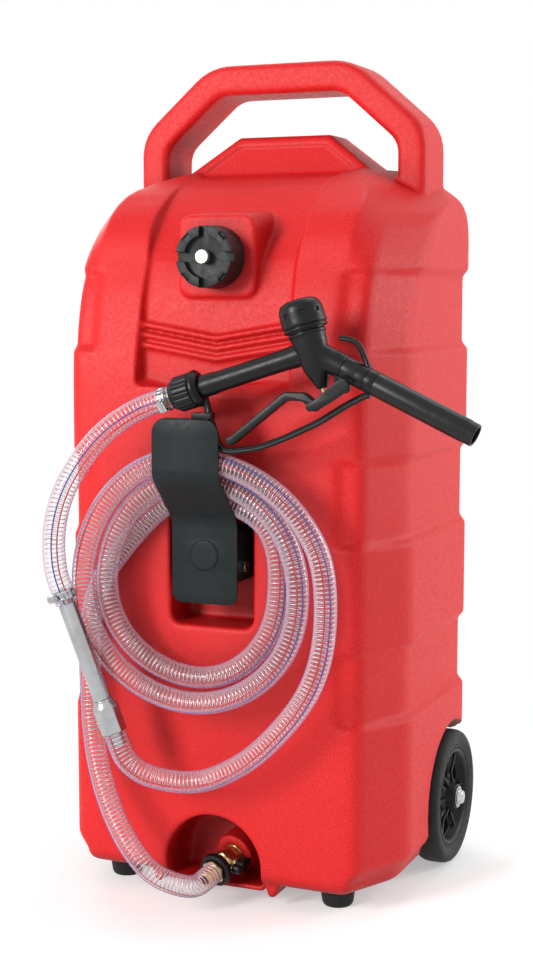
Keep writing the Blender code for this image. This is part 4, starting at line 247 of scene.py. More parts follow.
CREST_RECESS = 0.0035
CREST_ROUND = 0.004
# Depth and inset of a softened edge, as shares of its rounding
SOFT_EDGE = ((0, 1), (0.3, 0.3), (1, 0))
BOSS_HALF_WIDTH = 0.047
BOSS_TOP = 0.784
BOSS_BASE = 0.692
BOSS_FACE = 0.1425
BOSS_DEPTH = 0.080
BOSS_DRAFT = 0.007
BOSS_RADIUS = 0.014
FILLER_HEIGHT = 0.7365
POCKET_HALF_WIDTH = 0.051
POCKET_LOW = 0.322
POCKET_HEIGHT = 0.132
POCKET_DEPTH = 0.048
POCKET_RADIUS = 0.012
ARCH_RADIUS = 0.059
ARCH_TOP = 0.1007
ARCH_DEPTH = 0.058
SKID_HALF_WIDTH = 0.014
SKID_OFFSET = 0.0715
SKID_DEPTH = 0.040
SKID_DROP = 0.0135

# Filler cap and vent pin
CAP_RADIUS = 0.0350
CAP_HEIGHT = 0.0330
CAP_STANDOFF = 0.0015
CAP_RIM = 0.0105
CAP_RIM_HEIGHT = 0.0050
CAP_SINK = 0.0020
CAP_DRAFT = 0.0014
CAP_RIBS = 16
CAP_PLATE = 0.006
PIN_RADIUS = 0.0075
PIN_STEM = 0.0032
PIN_HEAD = 0.0075

# Bracket
SHEET = 0.0025
BRACKET_HALF_WIDTH = 0.040
BRACKET_FRONT = 0.2257
BRACKET_LOW_FRONT = 0.1762
BRACKET_BASE = 0.351
BRACKET_FOLD_LOW = 0.4455
BRACKET_FOLD_HIGH = 0.497
BRACKET_TOP = 0.563
BRACKET_CORNER = 0.012
CHANNEL_HALF_WIDTH = BRACKET_HALF_WIDTH - 0.003
CHANNEL_LOW = 0.376
CHANNEL_HEIGHT = 0.058
FOLD_RADIUS = 0.009
FOLD_STEP = 0.0015
DISC_RADIUS = 0.0172
DISC_HEIGHT = 0.406
DISC_PROUD = 0.0015
SCREW_SPREAD = 0.022
CROSS_BOLT = at(0, -0.150, 0.392)
BOLT_HEAD = 0.0070
BOLT_WAY = 0.0043

# Drain valve, wheels and feet
BORE = 0.006
COLLAR_BORE = 0.0083
NUT_RADIUS = 0.0195
AXLE_BORE = 0.0063
VALVE_LENGTH = 0.030
UNION_LENGTH = 0.0115
VALVE_FACE = VALVE_LENGTH + UNION_LENGTH + CLEARANCE * 3
WHEEL_RADIUS = 0.0816
WHEEL_BACK = 0.083
WHEEL_INNER = 0.1815
WHEEL_GAP = 0.012
WHEEL_MIDDLE = at(0, WHEEL_BACK, WHEEL_RADIUS)
HUB_WIDTH = 0.0385
SPOKES = 6
WASHER = 0.0014
FOOT_SPREAD = 0.136
FOOT_REACH = 0.110


def in_frame(point):
    """A point given about the tank's own middle, in the shared frame."""
    return Vector(point) + OFFSET


def link(piece):
    bpy.context.scene.collection.objects.link(piece)
    return piece


def make_camera():
    """The camera, its heading counted from +Y to the left and its dip from level."""
    data = bpy.data.cameras.new("camera")
    data.lens, data.sensor_width, data.clip_start = CAMERA_LENS, 36, 0.05
    camera = link(bpy.data.objects.new("camera", data))
    level = at(-sin(CAMERA_TURN), cos(CAMERA_TURN), 0) * cos(CAMERA_DIP)
    forward = level - Z_AXIS * sin(CAMERA_DIP)
    right = at(cos(CAMERA_TURN), sin(CAMERA_TURN), 0)
    turned = Matrix((right, right.cross(forward), -forward)).transposed().to_4x4()
    camera.matrix_world = Matrix.Translation(in_frame(CAMERA_PLACE)) @ turned
    bpy.context.scene.camera = camera


# Hose routes, as in the solids


def hermite(start, end, leave, arrive, part):
    square, cube = part * part, part**3
    return (
        start * (2 * cube - 3 * square + 1)
        + leave * (cube - 2 * square + part)
        + end * (3 * square - 2 * cube)
        + arrive * (cube - square)
    )


def smooth_route(points, leave, arrive, steps):
    """A curve through points that leaves the first and reaches the last in given directions."""
    spans = [(b - a).length for a, b in zip(points, points[1:])]
    tangents = [leave.normalized()]
    for i in range(1, len(points) - 1):
        before = (points[i] - points[i - 1]) / spans[i - 1]
        after = (points[i + 1] - points[i]) / spans[i]
        tangents.append((before * spans[i] + after * spans[i - 1]) / (spans[i] + spans[i - 1]))
    tangents.append(arrive.normalized())
    fine = []
    for i, span in enumerate(spans):
        ends = (points[i], points[i + 1], tangents[i] * span, tangents[i + 1] * span)
        fine += [hermite(*ends, k / steps) for k in range(steps)]
    return [*fine, points[-1]]


def straight_ended(points, leave, arrive, steps=12):
    """A smooth route whose ends run straight for one diameter of the hose."""
    run = HOSE_RADIUS * 2
    first = points[0] + leave.normalized() * run
    last = points[-1] - arrive.normalized() * run
    return [points[0], *smooth_route([first, *points[1:-1], last], leave, arrive, steps), points[-1]]


def coil_point(quarter):
    """A point of the coil's middle line, counted in quarters of a turn."""
    low = min(int(quarter), len(COIL_QUARTERS) - 2)
    part = quarter - low
    ease = (1 - cos(pi * part)) / 2
    (start, near), (end, far) = COIL_QUARTERS[low : low + 2]
    flat = COIL_FLAT if quarter < 1 else 1
    reaches = [start * cos(pi / 2 * part) ** flat, end * sin(pi / 2 * part)]
    across, up = reaches if low % 2 else reversed(reaches)
    angle = pi / 2 * quarter
    x, z = copysign(across, sin(angle)), copysign(up, cos(angle))
    return at(COIL_X + x, -(near * (1 - ease) + far * ease), COIL_Z + z)


def headings(points):
    """The direction of a path at each of its points."""
    inner = [(c - a).normalized() for a, c in zip(points, points[2:])]
    return [(points[1] - points[0]).normalized(), *inner, (points[-1] - points[-2]).normalized()]


def resample(route, step):
    """Points at even steps along a route, and its length."""
    lengths = [0]
    for a, b in zip(route, route[1:]):
        lengths.append(lengths[-1] + (b - a).length)
    count = max(2, round(lengths[-1] / step) + 1)
    found = []
    low = 0
    for i in range(count):
        goal = lengths[-1] * i / (count - 1)
        while low + 2 < len(route) and lengths[low + 1] < goal:
            low += 1
        part = (goal - lengths[low]) / max(1e-9, lengths[low + 1] - lengths[low])
        found.append(route[low].lerp(route[low + 1], part))
    for _ in range(3):
        found[1:-1] = [(a + b * 2 + c) / 4 for a, b, c in zip(found, found[1:], found[2:])]
    return found, lengths[-1]


def eased(route, middle, reach, rounds):
    """A route whose bend near a point is spread over this reach to both sides."""
    points = resample(route, LINE_STEP)[0]
    near = []
    for i in range(1, len(points) - 1):
        gap = (points[i] - middle).length / reach
        if gap < 1:
            near.append((i, cos(pi / 2 * gap) ** 2))
    for _ in range(rounds):
        for i, weight in near:
            points[i] = points[i].lerp((points[i - 1] + points[i + 1]) / 2, weight / 2)
    return points


def hose_routes():
    """Fine points of the long hose from the drain valve to the tube, and of the short one to the nozzle."""
    last = len(COIL_QUARTERS) - 1
    count = COIL_STEPS * last // 4
    coil = [coil_point(last * i / count) for i in range(count + 1)]
    enter = coil[1] - coil[0]
    enter = at(enter.x, enter.y, 0).normalized()
    leave = at(0, 0, coil[-1].z - coil[-2].z).normalized()
    wound = straight_ended([coil[0], *coil[2:-2], coil[-1]], enter, leave, 4)
    tail = straight_ended([OUTLET_POINT, *map(Vector, TAIL_ROUTE), coil[0]], OUTLET_LINE, enter)
    back = straight_ended([coil[-1], *map(Vector, RETURN_ROUTE), INLINE_LOW], leave, INLINE)
    lead = straight_ended([INLINE_HIGH, *map(Vector, LEAD_ROUTE), HOSE_END], INLINE, -GRIP_LINE)
    long_route = eased(tail + wound[1:] + back[1:], coil[-1], COIL_EASE, EASE_ROUNDS)
    return [in_frame(p) for p in long_route], [in_frame(p) for p in lead]


def around(middles, angles_at, radius_at):
    """Points about a route: at each of its points, those at the angles and the radius given there."""
    ways = headings(middles)
    side = X_AXIS if abs(ways[0].x) < 0.9 else Z_AXIS
    points = []
    for i, (middle, way) in enumerate(zip(middles, ways)):
        side = (side - way * side.dot(way)).normalized()
        third = way.cross(side)
        points += [middle + (side * cos(a) + third * sin(a)) * radius_at(i) for a in angles_at(i)]
    return points


def mesh_piece(name, points, faces, material, smooth=True, angle=SMOOTH_ANGLE):
    """A piece of this mesh with its faces turned outward, sharp where they meet past the angle."""
    mesh = bpy.data.meshes.new(name)
    mesh.from_pydata([tuple(p) for p in points], [], faces)
    mesh.materials.append(material)
    shape = bmesh.new()
    shape.from_mesh(mesh)
    bmesh.ops.recalc_face_normals(shape, faces=shape.faces)
    shape.to_mesh(mesh)
    shape.free()
    if smooth:
        mesh.shade_smooth()
        mesh.set_sharp_from_angle(angle=radians(angle))
    return link(bpy.data.objects.new(name, mesh))


def ring_faces(levels, count):
    """Faces between rings of equally many points, with flat ends."""
    faces = []
    for low in range(0, (levels - 1) * count, count):
        for i in range(count):
            j = (i + 1) % count
            faces.append((low + i, low + j, low + count + j, low + count + i))
    last = (levels - 1) * count
    return [*faces, tuple(range(count)), tuple(range(last, last + count))]


def tube(name, middles, radius_at, sides, material, turn=0.0, angle=SMOOTH_ANGLE):
    """A closed tube about points, with a radius at each of them."""
    angles = [2 * pi * (k + turn) / sides for k in range(sides)]
    points = around(middles, lambda i: angles, radius_at)
    return mesh_piece(name, points, ring_faces(len(middles), sides), material, True, angle)


def wire(name, points, radius, material, sides=4):
    return tube(name, points, lambda i: radius, sides, material, 0.5, 100)


# Materials


class Graph:
    """Short calls for the nodes of a material or a world."""

    def __init__(self, owner):
        self.owner = owner
        owner.use_nodes = True
        self.tree = owner.node_tree
        self.shader = self.tree.nodes.get("Principled BSDF")

    def add(self, kind, links=(), **values):
        """A node, with sources by input and with settings or plain input values by name."""
        node = self.tree.nodes.new(kind)
        for key, value in values.items():
            if hasattr(node, key):
                setattr(node, key, value)
            else:
                node.inputs[key.replace("_", " ")].default_value = value
        for key, source in dict(links).items():
            self.tree.links.new(source, node.inputs[key])
        return node

    def set(self, **values):
        for key, value in values.items():
            self.shader.inputs[key.replace("_", " ")].default_value = value

    def link(self, source, key):
        self.tree.links.new(source, self.shader.inputs[key])

    def place(self):
        return self.add("ShaderNodeTexCoord").outputs["Object"]

    def noise(self, scale, detail=3.0, rough=0.5):
        links = {"Vector": self.place()}
        node = self.add("ShaderNodeTexNoise", links, Scale=scale, Detail=detail, Roughness=rough)
        return node.outputs["Fac"]

    def ramp(self, source, *stops):
        node = self.add("ShaderNodeValToRGB", {"Fac": source})
        elements = node.color_ramp.elements
        while len(elements) < len(stops):
            elements.new(0.5)
        for element, (position, colour) in zip(elements, stops):
            element.position, element.color = position, (*colour, 1)
        return node.outputs["Color"]

    def level(self, source, low, high, to_low, to_high):
        ends = {"From_Min": low, "From_Max": high, "To_Min": to_low, "To_Max": to_high}
        return self.add("ShaderNodeMapRange", {"Value": source}, **ends).outputs["Result"]

    def maths(self, operation, first, second):
        return self.add("ShaderNodeMath", {0: first, 1: second}, operation=operation).outputs[0]

    def mix(self, factor, first, second):
        """A colour between two, each a socket or a plain colour."""
        node = self.add("ShaderNodeMix", data_type="RGBA")
        self.tree.links.new(factor, node.inputs[0])
        for slot, value in ((6, first), (7, second)):
            if isinstance(value, tuple):
                node.inputs[slot].default_value = (*value, 1)
            else:
                self.tree.links.new(value, node.inputs[slot])
        return node.outputs[2]

    def bump(self, height, strength, distance, below=None):
        links = {"Height": height}
        if below is not None:
            links["Normal"] = below
        return self.add("ShaderNodeBump", links, Strength=strength, Distance=distance).outputs["Normal"]

    def seen_directly(self):
        """One for camera rays and for rays that reach metal, gloss or clear plastic, else nothing."""
        rays = self.add("ShaderNodeLightPath").outputs
        found = rays["Is Camera Ray"]
        for ray in ("Is Glossy Ray", "Is Transmission Ray"):
            found = self.maths("MAXIMUM", found, rays[ray])
        return found


def material_graph(name):
    return Graph(bpy.data.materials.new(name))


def clear_hose_material():
    """Clear PVC, denser where it is seen edge on."""
    g = material_graph("clear_hose_pvc")
    g.set(IOR=1.8, Specular_IOR_Level=1.0)
    facing = g.add("ShaderNodeLayerWeight", Blend=0.5).outputs["Facing"]
    g.link(g.ramp(facing, (0.40, (0.96, 0.80, 0.85)), (0.85, (0.50, 0.27, 0.58))), "Base Color")
    dense = g.level(facing, 0.20, 0.92, 0.09, 0.88)
    shade = g.level(g.add("ShaderNodeLightPath").outputs["Is Shadow Ray"], 0.0, 1.0, 1.0, 0.25)
    g.link(g.maths("MULTIPLY", dense, shade), "Alpha")
    g.link(g.level(g.noise(60.0, 2.0), 0.3, 0.7, 0.08, 0.18), "Roughness")
    return g.owner


def plain_metal(name, colour, roughness):
    """Metal with a fine grain, uneven gloss and faint tarnish."""
    g = material_graph(name)
    g.set(Base_Color=(*colour, 1), Metallic=1.0)
    g.link(g.level(g.noise(35.0, 2.0), 0.3, 0.7, roughness * 0.8, roughness * 1.25), "Roughness")
    dark = tuple(c * 0.82 for c in colour)
    g.link(g.ramp(g.noise(45.0, 5.0, 0.6), (0.35, dark), (0.6, colour)), "Base Color")
    g.link(g.bump(g.noise(600.0, 4.0, 0.6), 0.35, 0.00004), "Normal")
    return g.owner


def tracer_material(name, colour):
    g = material_graph(name)
    g.set(Roughness=0.35)
    g.link(g.ramp(g.noise(90.0), (0.3, tuple(c * 0.75 for c in colour)), (0.7, colour)), "Base Color")
    return g.owner


def red_material():
    """Moulded red plastic with a fine grain, faint mottling and painted shade in its creases."""
    g = material_graph("red_moulded_plastic")
    grain = g.noise(820.0, 3.0, 0.6)
    shades = (0.34, (0.66, 0.008, 0.009)), (0.52, (0.84, 0.015, 0.017)), (0.72, (0.95, 0.045, 0.048))
    mottle = g.level(g.noise(9.0, 2.0), 0.3, 0.7, 0.0, 0.16)
    tint = g.mix(mottle, g.ramp(grain, *shades), (0.72, 0.009, 0.010))
    # Painted shade: ambient occlusion mixes the colour toward a dark red in creases, grooves, the pocket and
    # the recess.
    painted_shade_openness = g.add("ShaderNodeAmbientOcclusion", Distance=0.07).outputs["AO"]
    g.link(g.mix(g.level(painted_shade_openness, 0.30, 0.90, 0.0, 1.0), (0.38, 0.005, 0.006), tint), "Base Color")
    g.link(g.level(g.noise(260.0), 0.3, 0.7, 0.42, 0.56), "Roughness")
    g.set(Specular_IOR_Level=0.34)
    pits = g.bump(g.noise(1500.0, 2.0), 0.25, 0.0004)
    g.link(g.bump(grain, 0.42, 0.0007, pits), "Normal")
    return g.owner


def black_material(name, colour, rough, grain=900.0, depth=0.0004, strength=0.2, gloss=0.22):
    """Dark moulded plastic or rubber with a fine texture and lightly worn tone."""
    g = material_graph(name)
    g.set(Specular_IOR_Level=gloss)
    light = tuple(c * 1.25 + 0.0015 for c in colour)
    g.link(g.ramp(g.noise(70.0, 5.0, 0.6), (0.35, colour), (0.75, light)), "Base Color")
    g.link(g.level(g.noise(180.0), 0.3, 0.7, rough * 0.85, rough * 1.2), "Roughness")
    g.link(g.bump(g.noise(grain, 3.0, 0.55), strength, depth), "Normal")
    return g.owner


HOSE_CLEAR = clear_hose_material()
HOSE_WIRE = plain_metal("hose_wire_steel", (0.80, 0.70, 0.75), 0.36)
LINES = (
    (radians(288), tracer_material("tracer_blue", (0.07, 0.05, 0.40))),
    (radians(318), tracer_material("tracer_red", (0.62, 0.03, 0.06))),
)
RED_PLASTIC = red_material()
BLACK_PLASTIC = black_material("black_moulded_plastic", (0.005, 0.005, 0.0055), 0.34, gloss=0.26)
CAP_PLASTIC = black_material("charcoal_cap_plastic", (0.014, 0.016, 0.016), 0.42)
BLACK_STEEL = black_material("black_coated_steel", (0.0125, 0.0170, 0.0180), 0.42, 1600.0, 0.0002, 0.25, 0.16)
RUBBER = black_material("black_rubber", (0.014, 0.014, 0.014), 0.6, 500.0, 0.0004, 0.25)
TYRE_RUBBER = black_material("tyre_rubber", (0.026, 0.028, 0.027), 0.62, 420.0, 0.0005, 0.3)
RIM_PLASTIC = black_material("rim_plastic", (0.014, 0.015, 0.015), 0.42)
SPOUT_PLASTIC = black_material("spout_plastic", (0.010, 0.010, 0.011), 0.30, 700.0, 0.0002, 0.15, 0.28)
BRASS = plain_metal("brass", (0.72, 0.55, 0.26), 0.26)
ZINC = plain_metal("zinc_steel", (0.46, 0.46, 0.46), 0.28)
CHROME = plain_metal("bright_steel", (0.58, 0.58, 0.60), 0.12)
ALUMINIUM = plain_metal("aluminium", (0.50, 0.51, 0.52), 0.26)
PIN_BRASS = plain_metal("pale_brass", (1.0, 0.95, 0.80), 0.38)
SLOTS = {
    RED_PLASTIC: "red_plastic",
    BLACK_STEEL: "black_steel",
    RUBBER: "rubber",
    TYRE_RUBBER: "tyre",
    ZINC: "zinc_steel",
    CHROME: "bright_steel",
    ALUMINIUM: "aluminium",
    **dict.fromkeys((BLACK_PLASTIC, CAP_PLASTIC, RIM_PLASTIC, SPOUT_PLASTIC), "black_plastic"),
    **dict.fromkeys((BRASS, PIN_BRASS), "brass"),
}


def make_hose(name, route, replaced):
    """A clear hose with a wound steel wire and coloured lines along it."""
    middles, run = resample(route, WIRE_PITCH / 4)

    def radius_at(i):
        distance = run * i / (len(middles) - 1)
        return HOSE_RADIUS - HOSE_DIP * (1 - cos(2 * pi * distance / WIRE_PITCH)) / 2

    hose = tube(name, middles, radius_at, HOSE_SIDES, HOSE_CLEAR)
    turns, run = resample(route, WIRE_PITCH / 16)
    last = len(turns) - 1
    helix = around(turns, lambda i: [2 * pi * (run * i / last) / WIRE_PITCH], lambda i: WIRE_REACH)
    parts = [wire(name + "_wire", helix, WIRE_RADIUS, HOSE_WIRE)]
    for number, (angle, colour) in enumerate(LINES):
        line = around(resample(route, LINE_STEP)[0], lambda i: [angle], lambda i: LINE_REACH)
        parts.append(wire(name + "_line_" + str(number), line, LINE_RADIUS, colour))
    for part in parts:
        part.parent = hose
    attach(hose, "tank")
    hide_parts(*replaced)


def make_stage():
    """A pale floor that keeps the object's shadow, and an even white surround."""
    world = bpy.data.worlds.new("studio")
    bpy.context.scene.world = world
    g = Graph(world)
    background = g.tree.nodes["Background"].inputs
    background["Color"].default_value = (1, 1, 1, 1)
    g.tree.links.new(g.level(g.seen_directly(), 0, 1, WORLD_FILL, 1), background["Strength"])
    g = material_graph("pale_floor")
    g.set(Base_Color=(0.86, 0.86, 0.86, 1), Roughness=0.9)
    plain = g.shader.outputs[0]
    glows = [g.add("ShaderNodeEmission", Color=(1, 1, 1, 1), Strength=power) for power in (FLOOR_LIFT, 1)]
    lift, white = [glow.outputs[0] for glow in glows]
    lit = g.add("ShaderNodeAddShader", {0: plain, 1: lift}).outputs[0]
    span = g.add("ShaderNodeVectorMath", {0: g.place()}, operation="DISTANCE")
    span.inputs[1].default_value = FLOOR_MIDDLE
    away = g.level(span.outputs["Value"], FLOOR_SHADED, FLOOR_WHITE, 0.0, 1.0)
    far = g.add("ShaderNodeMixShader", {0: away, 1: lit, 2: white}).outputs[0]
    pick = g.add("ShaderNodeMixShader", {0: g.seen_directly(), 1: plain, 2: far})
    g.tree.links.new(pick.outputs[0], g.tree.nodes["Material Output"].inputs["Surface"])
    corners = [(x * FLOOR_HALF, y * FLOOR_HALF, 0) for x, y in ((-1, -1), (1, -1), (1, 1), (-1, 1))]
    mesh_piece("studio_floor", corners, [(0, 1, 2, 3)], g.owner, False)


def make_lights():
    for name, place, size, power in LAMPS:
        data = bpy.data.lights.new(name, "AREA")
        data.shape, data.energy = "RECTANGLE", power
        data.size, data.size_y = size
        light = link(bpy.data.objects.new(name, data))
        light.location = place
        light.rotation_euler = (LAMP_TARGET - Vector(place)).to_track_quat("-Z", "Y").to_euler()


# Building blocks


def place_along(direction, point=at(0, 0, 0), side=X_AXIS):
    """A placement whose own Z runs along the direction from the point, with X near the side."""
    forward = direction.normalized()
    across = side - forward * side.dot(forward)
    if across.length < 0.1:
        across = Y_AXIS - forward * Y_AXIS.dot(forward)
    across.normalize()
    turned_to = Matrix((across, forward.cross(across), forward)).transposed().to_4x4()
    return Matrix.Translation(point) @ turned_to


def spun(place, angle):
    """A placement turned about its own Z."""
    return place @ Matrix.Rotation(angle, 4, "Z")


def placed(name, points, faces, material, place=None, smooth=True):
    """A mesh given about the tank's own middle, or in a placement there, set in the shared frame."""
    matrix = Matrix.Translation(OFFSET) @ (place or Matrix())
    return mesh_piece(name, [matrix @ Vector(p) for p in points], faces, material, smooth)


def bend_points(before, here, after, radius, steps):
    """Points of a soft bend that takes the place of a corner."""
    here = Vector(here)
    back, on = Vector(before) - here, Vector(after) - here
    near = here + back.normalized() * min(radius, back.length * BEND_SHARE)
    far = here + on.normalized() * min(radius, on.length * BEND_SHARE)
    shares = [i / steps for i in range(steps + 1)]
    return [near * (1 - t) ** 2 + here * (2 * t * (1 - t)) + far * t**2 for t in shares]


def rounded(outline, radius, steps=3, closed=True):
    """An outline whose corners are soft bends."""
    count = len(outline)
    found = []
    for i, here in enumerate(outline):
        if not closed and i in (0, count - 1):
            found.append(Vector(here))
            continue
        found += bend_points(outline[i - 1], here, outline[(i + 1) % count], radius, steps)
    return found


def inset(outline, distance):
    """Moves each edge of a closed 2D outline inwards by the distance."""
    outline = [Vector(point) for point in outline]
    area = sum(a.x * b.y - b.x * a.y for a, b in zip(outline, outline[1:] + outline[:1]))
    way = copysign(1, area)
    moved = []
    for i, here in enumerate(outline):
        before = (here - outline[i - 1]).normalized()
        after = (outline[(i + 1) % len(outline)] - here).normalized()
        normal_in = Vector((-before.y, before.x)) * way
        normal_out = Vector((-after.y, after.x)) * way
        moved.append(here + (normal_in + normal_out) * (distance / (1 + normal_in.dot(normal_out))))
    return moved


def mitres(path):
    """At each point of an open 2D path, the shift to the left by one for both edges that meet there."""
    found = []
    for i, here in enumerate(path):
        before = (here - path[i - 1]).normalized() if i else None
        after = (path[i + 1] - here).normalized() if i + 1 < len(path) else before
        before = before or after
        normal = Vector((-before.y - after.y, before.x + after.x))
        found.append(normal / (1 + before.dot(after)))
    return found


def loft(name, rings, material=None, place=None):
    """A closed skin through rings of equally many points, with flat ends."""
    points = [p for ring in rings for p in ring]
    return placed(name, points, ring_faces(len(rings), len(rings[0])), material, place)


def lathe(name, profile, place, material=None, sides=48, soft=0.0, hollow=False, wave=None):
    """A skin turned about its own Z from (radius, height) points; a hollow profile closes on itself."""
    if soft:
        profile = rounded(profile, soft, 3, hollow)
    points, faces, rings = [], [], []
    for radius, height in profile:
        if radius < 1e-7:
            rings.append([len(points)] * sides)
            points.append((0, 0, height))
            continue
        rings.append(range(len(points), len(points) + sides))
        for i in range(sides):
            turn = 2 * pi * i / sides
            reach = radius + (wave(turn, radius, height) if wave else 0)
            points.append((reach * cos(turn), reach * sin(turn), height))
    pairs = list(zip(rings, rings[1:]))
    if hollow:
        pairs.append((rings[-1], rings[0]))
    for low, high in pairs:
        for i in range(sides):
            j = (i + 1) % sides
            corners = tuple(dict.fromkeys((low[i], low[j], high[j], high[i])))
            if len(corners) > 2:
                faces.append(corners)
    return placed(name, points, faces, material, place)


def plug(radius, low, high):
    return [(0, low), (radius, low), (radius, high), (0, high)]


def sleeve(inner, outer, low, high):
    return [(inner, low), (inner, high), (outer, high), (outer, low)]


def rod(name, start, end, radius, sides=32, soft=0.0, material=None):
    profile = plug(radius, 0, (end - start).length)
    return lathe(name, profile, place_along(end - start, start), material, sides, soft)


def bar(name, middle, half, radius, *shape):
    """A rod that runs from its middle by the half to both sides."""
    return rod(name, middle - half, middle + half, radius, *shape)


def flat(outline, level):
    return [at(p[0], p[1], level) for p in outline]


def upright(outline, y, lean=0.0, lean_from=0.0):
    """Stands a 2D outline in a plane of the given Y, which may lean back with height."""
    return [at(p[0], y + lean * (p[1] - lean_from), p[1]) for p in outline]


def stack(name, skins, front, back, material=None, place=None):
    """Upright outlines, each at its depth behind the front and the same before the back."""
    rings = [upright(skin, front + deep) for skin, deep in skins]
    rings += [upright(skin, back - deep) for skin, deep in reversed(skins)]
    return loft(name, rings, material, place)


def slab(name, outline, front, back, soft=0.0, material=None, place=None):
    """An upright outline run from front to back along Y, with its edges softened."""
    turns = [radians(turn) for turn in ((0, 30, 60, 90) if soft else (90,))]
    skins = [(inset(outline, soft * (1 - sin(turn))), soft * (1 - cos(turn))) for turn in turns]
    return stack(name, skins, front, back, material, place)


def bar_outline(path, widths):
    """A flat bar along a 2D path, with a width at each point."""
    path = [Vector(point) for point in path]
    shifts = [mitre * (width / 2) for mitre, width in zip(mitres(path), widths)]
    left = [point + shift for point, shift in zip(path, shifts)]
    right = [point - shift for point, shift in zip(path, shifts)]
    return left + right[::-1]


def rectangle(half_width, low, high, radius, steps=5):
    """Corner points of a rounded upright rectangle about X = 0."""
    points = []
    for side, level, quarter in ((1, high, 0), (-1, high, 1), (-1, low, 2), (1, low, 3)):
        middle_z = level - radius if level == high else level + radius
        for i in range(steps + 1):
            angle = pi / 2 * (quarter + i / steps)
            x = side * (half_width - radius) + radius * cos(angle)
            points.append((x, middle_z + radius * sin(angle)))
    return points


def block(name, low, high, place=None):
    """A closed block between two corners of a placement."""
    x, y, z = zip(low, high)
    points = [(x[i & 1], y[i >> 1 & 1], z[i >> 2]) for i in range(8)]
    faces = [(0, 2, 3, 1), (4, 5, 7, 6), (0, 1, 5, 4), (2, 6, 7, 3), (0, 4, 6, 2), (1, 3, 7, 5)]
    return placed(name, points, faces, None, place, False)


def adds(*tools):
    return [("UNION", tool) for tool in tools]


def cuts(*tools):
    return [("DIFFERENCE", tool) for tool in tools]


def shaped(piece, tools=(), steps=(), angle=None):
    """Adds and cuts the tools in turn, then takes the further steps on the mesh, all applied."""
    changes = [("BOOLEAN", {"operation": way, "solver": "MANIFOLD", "object": tool}) for way, tool in tools]
    for kind, settings in [*changes, *steps]:
        step = piece.modifiers.new(kind, kind)
        for key, value in settings.items():
            setattr(step, key, value)
    bpy.context.view_layer.update()
    shown = piece.evaluated_get(bpy.context.evaluated_depsgraph_get())
    old = piece.data
    mesh = bpy.data.meshes.new_from_object(shown)
    mesh.name = old.name
    piece.modifiers.clear()
    piece.data = mesh
    bpy.data.meshes.remove(old)
    for _, tool in tools:
        bpy.data.objects.remove(tool)
    for face in mesh.polygons:
        face.material_index = 0
    while len(mesh.materials) > 1:
        mesh.materials.pop()
    mesh.shade_smooth()
    if angle is not None:
        mesh.set_sharp_from_angle(angle=radians(angle))


def edged(piece, width):
    """Softens the sharp edges of a piece's mesh."""
    bevel = {"width": width, "segments": 2, "limit_method": "ANGLE", "angle_limit": radians(EDGE_ANGLE)}
    shaped(piece, (), [("BEVEL", {**bevel, "use_clamp_overlap": False})], BEVEL_ANGLE)


def dress(piece, body, node):
    """Sets what a piece rides on and hides the node it stands for."""
    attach(piece, body)
    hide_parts(node)


def turned(name, body, node, *shape):
    """A piece that comes off the lathe as it is."""
    dress(lathe(name, *shape), body, node)


def worked(piece, body, node, tools, edge=0.0, angle=EDGE_ANGLE):
    """A piece that tools add to and cut, with its edges softened."""
    shaped(piece, tools, angle=angle)
    if edge:
        edged(piece, edge)
    dress(piece, body, node)


def paint_node(name, material):
    """Gives a CAD node that stays a material of the scene's own."""
    materials = NODES[name].data.materials
    materials.clear()
    materials.append(material)


def hexagon(across, low=-1, high=1):
    """A wave that turns the outer skin of a lathe into a hexagon."""

    def wave(turn, radius, height):
        if radius < across * 0.86 or not low <= height <= high:
            return 0
        side = (turn + pi / 6) % (pi / 3) - pi / 6
        return min(0.0, across * 0.866 / cos(side) - radius)

    return wave


def ribs(count, depth, radius_from):
    """A wave of narrow grooves around a lathe's outer skin."""

    def wave(turn, radius, height):
        if radius < radius_from:
            return 0
        return -depth * max(0.0, cos(turn * count)) ** 4

    return wave


def smooth_row(rows, key):
    """The row of a table at this first value, on a curve between its rows that never overshoots."""
    key = min(max(key, rows[0][0]), rows[-1][0])
    low = max(i for i in range(len(rows) - 1) if rows[i][0] <= key)
    span = rows[low + 1][0] - rows[low][0]
    part = (key - rows[low][0]) / span

    def rate(i, column):
        return (rows[i + 1][column] - rows[i][column]) / (rows[i + 1][0] - rows[i][0])

    def slope(i, column):
        if i == 0 or i == len(rows) - 1:
            return rate(min(i, len(rows) - 2), column)
        before, after = rate(i - 1, column), rate(i, column)
        return 2 * before * after / (before + after) if before * after > 0 else 0

    found = []
    for column in range(1, len(rows[0])):
        leave, arrive = slope(low, column) * span, slope(low + 1, column) * span
        found.append(hermite(rows[low][column], rows[low + 1][column], leave, arrive, part))
    return found


# Tank


def groove_stations():
    half = GROOVE_SLOPE / 2
    found = []
    for low, height in GROOVES:
        high = low + height
        found += [(low - half, 0), (low + half, GROOVE_DEPTH), (high - half, GROOVE_DEPTH), (high + half, 0)]
    return found


def groove_depth(height):
    stations = groove_stations()
    for (low, depth_low), (high, depth_high) in zip(stations, stations[1:]):
        if low <= height <= high:
            return depth_low + (depth_high - depth_low) * (height - low) / (high - low)
    return 0


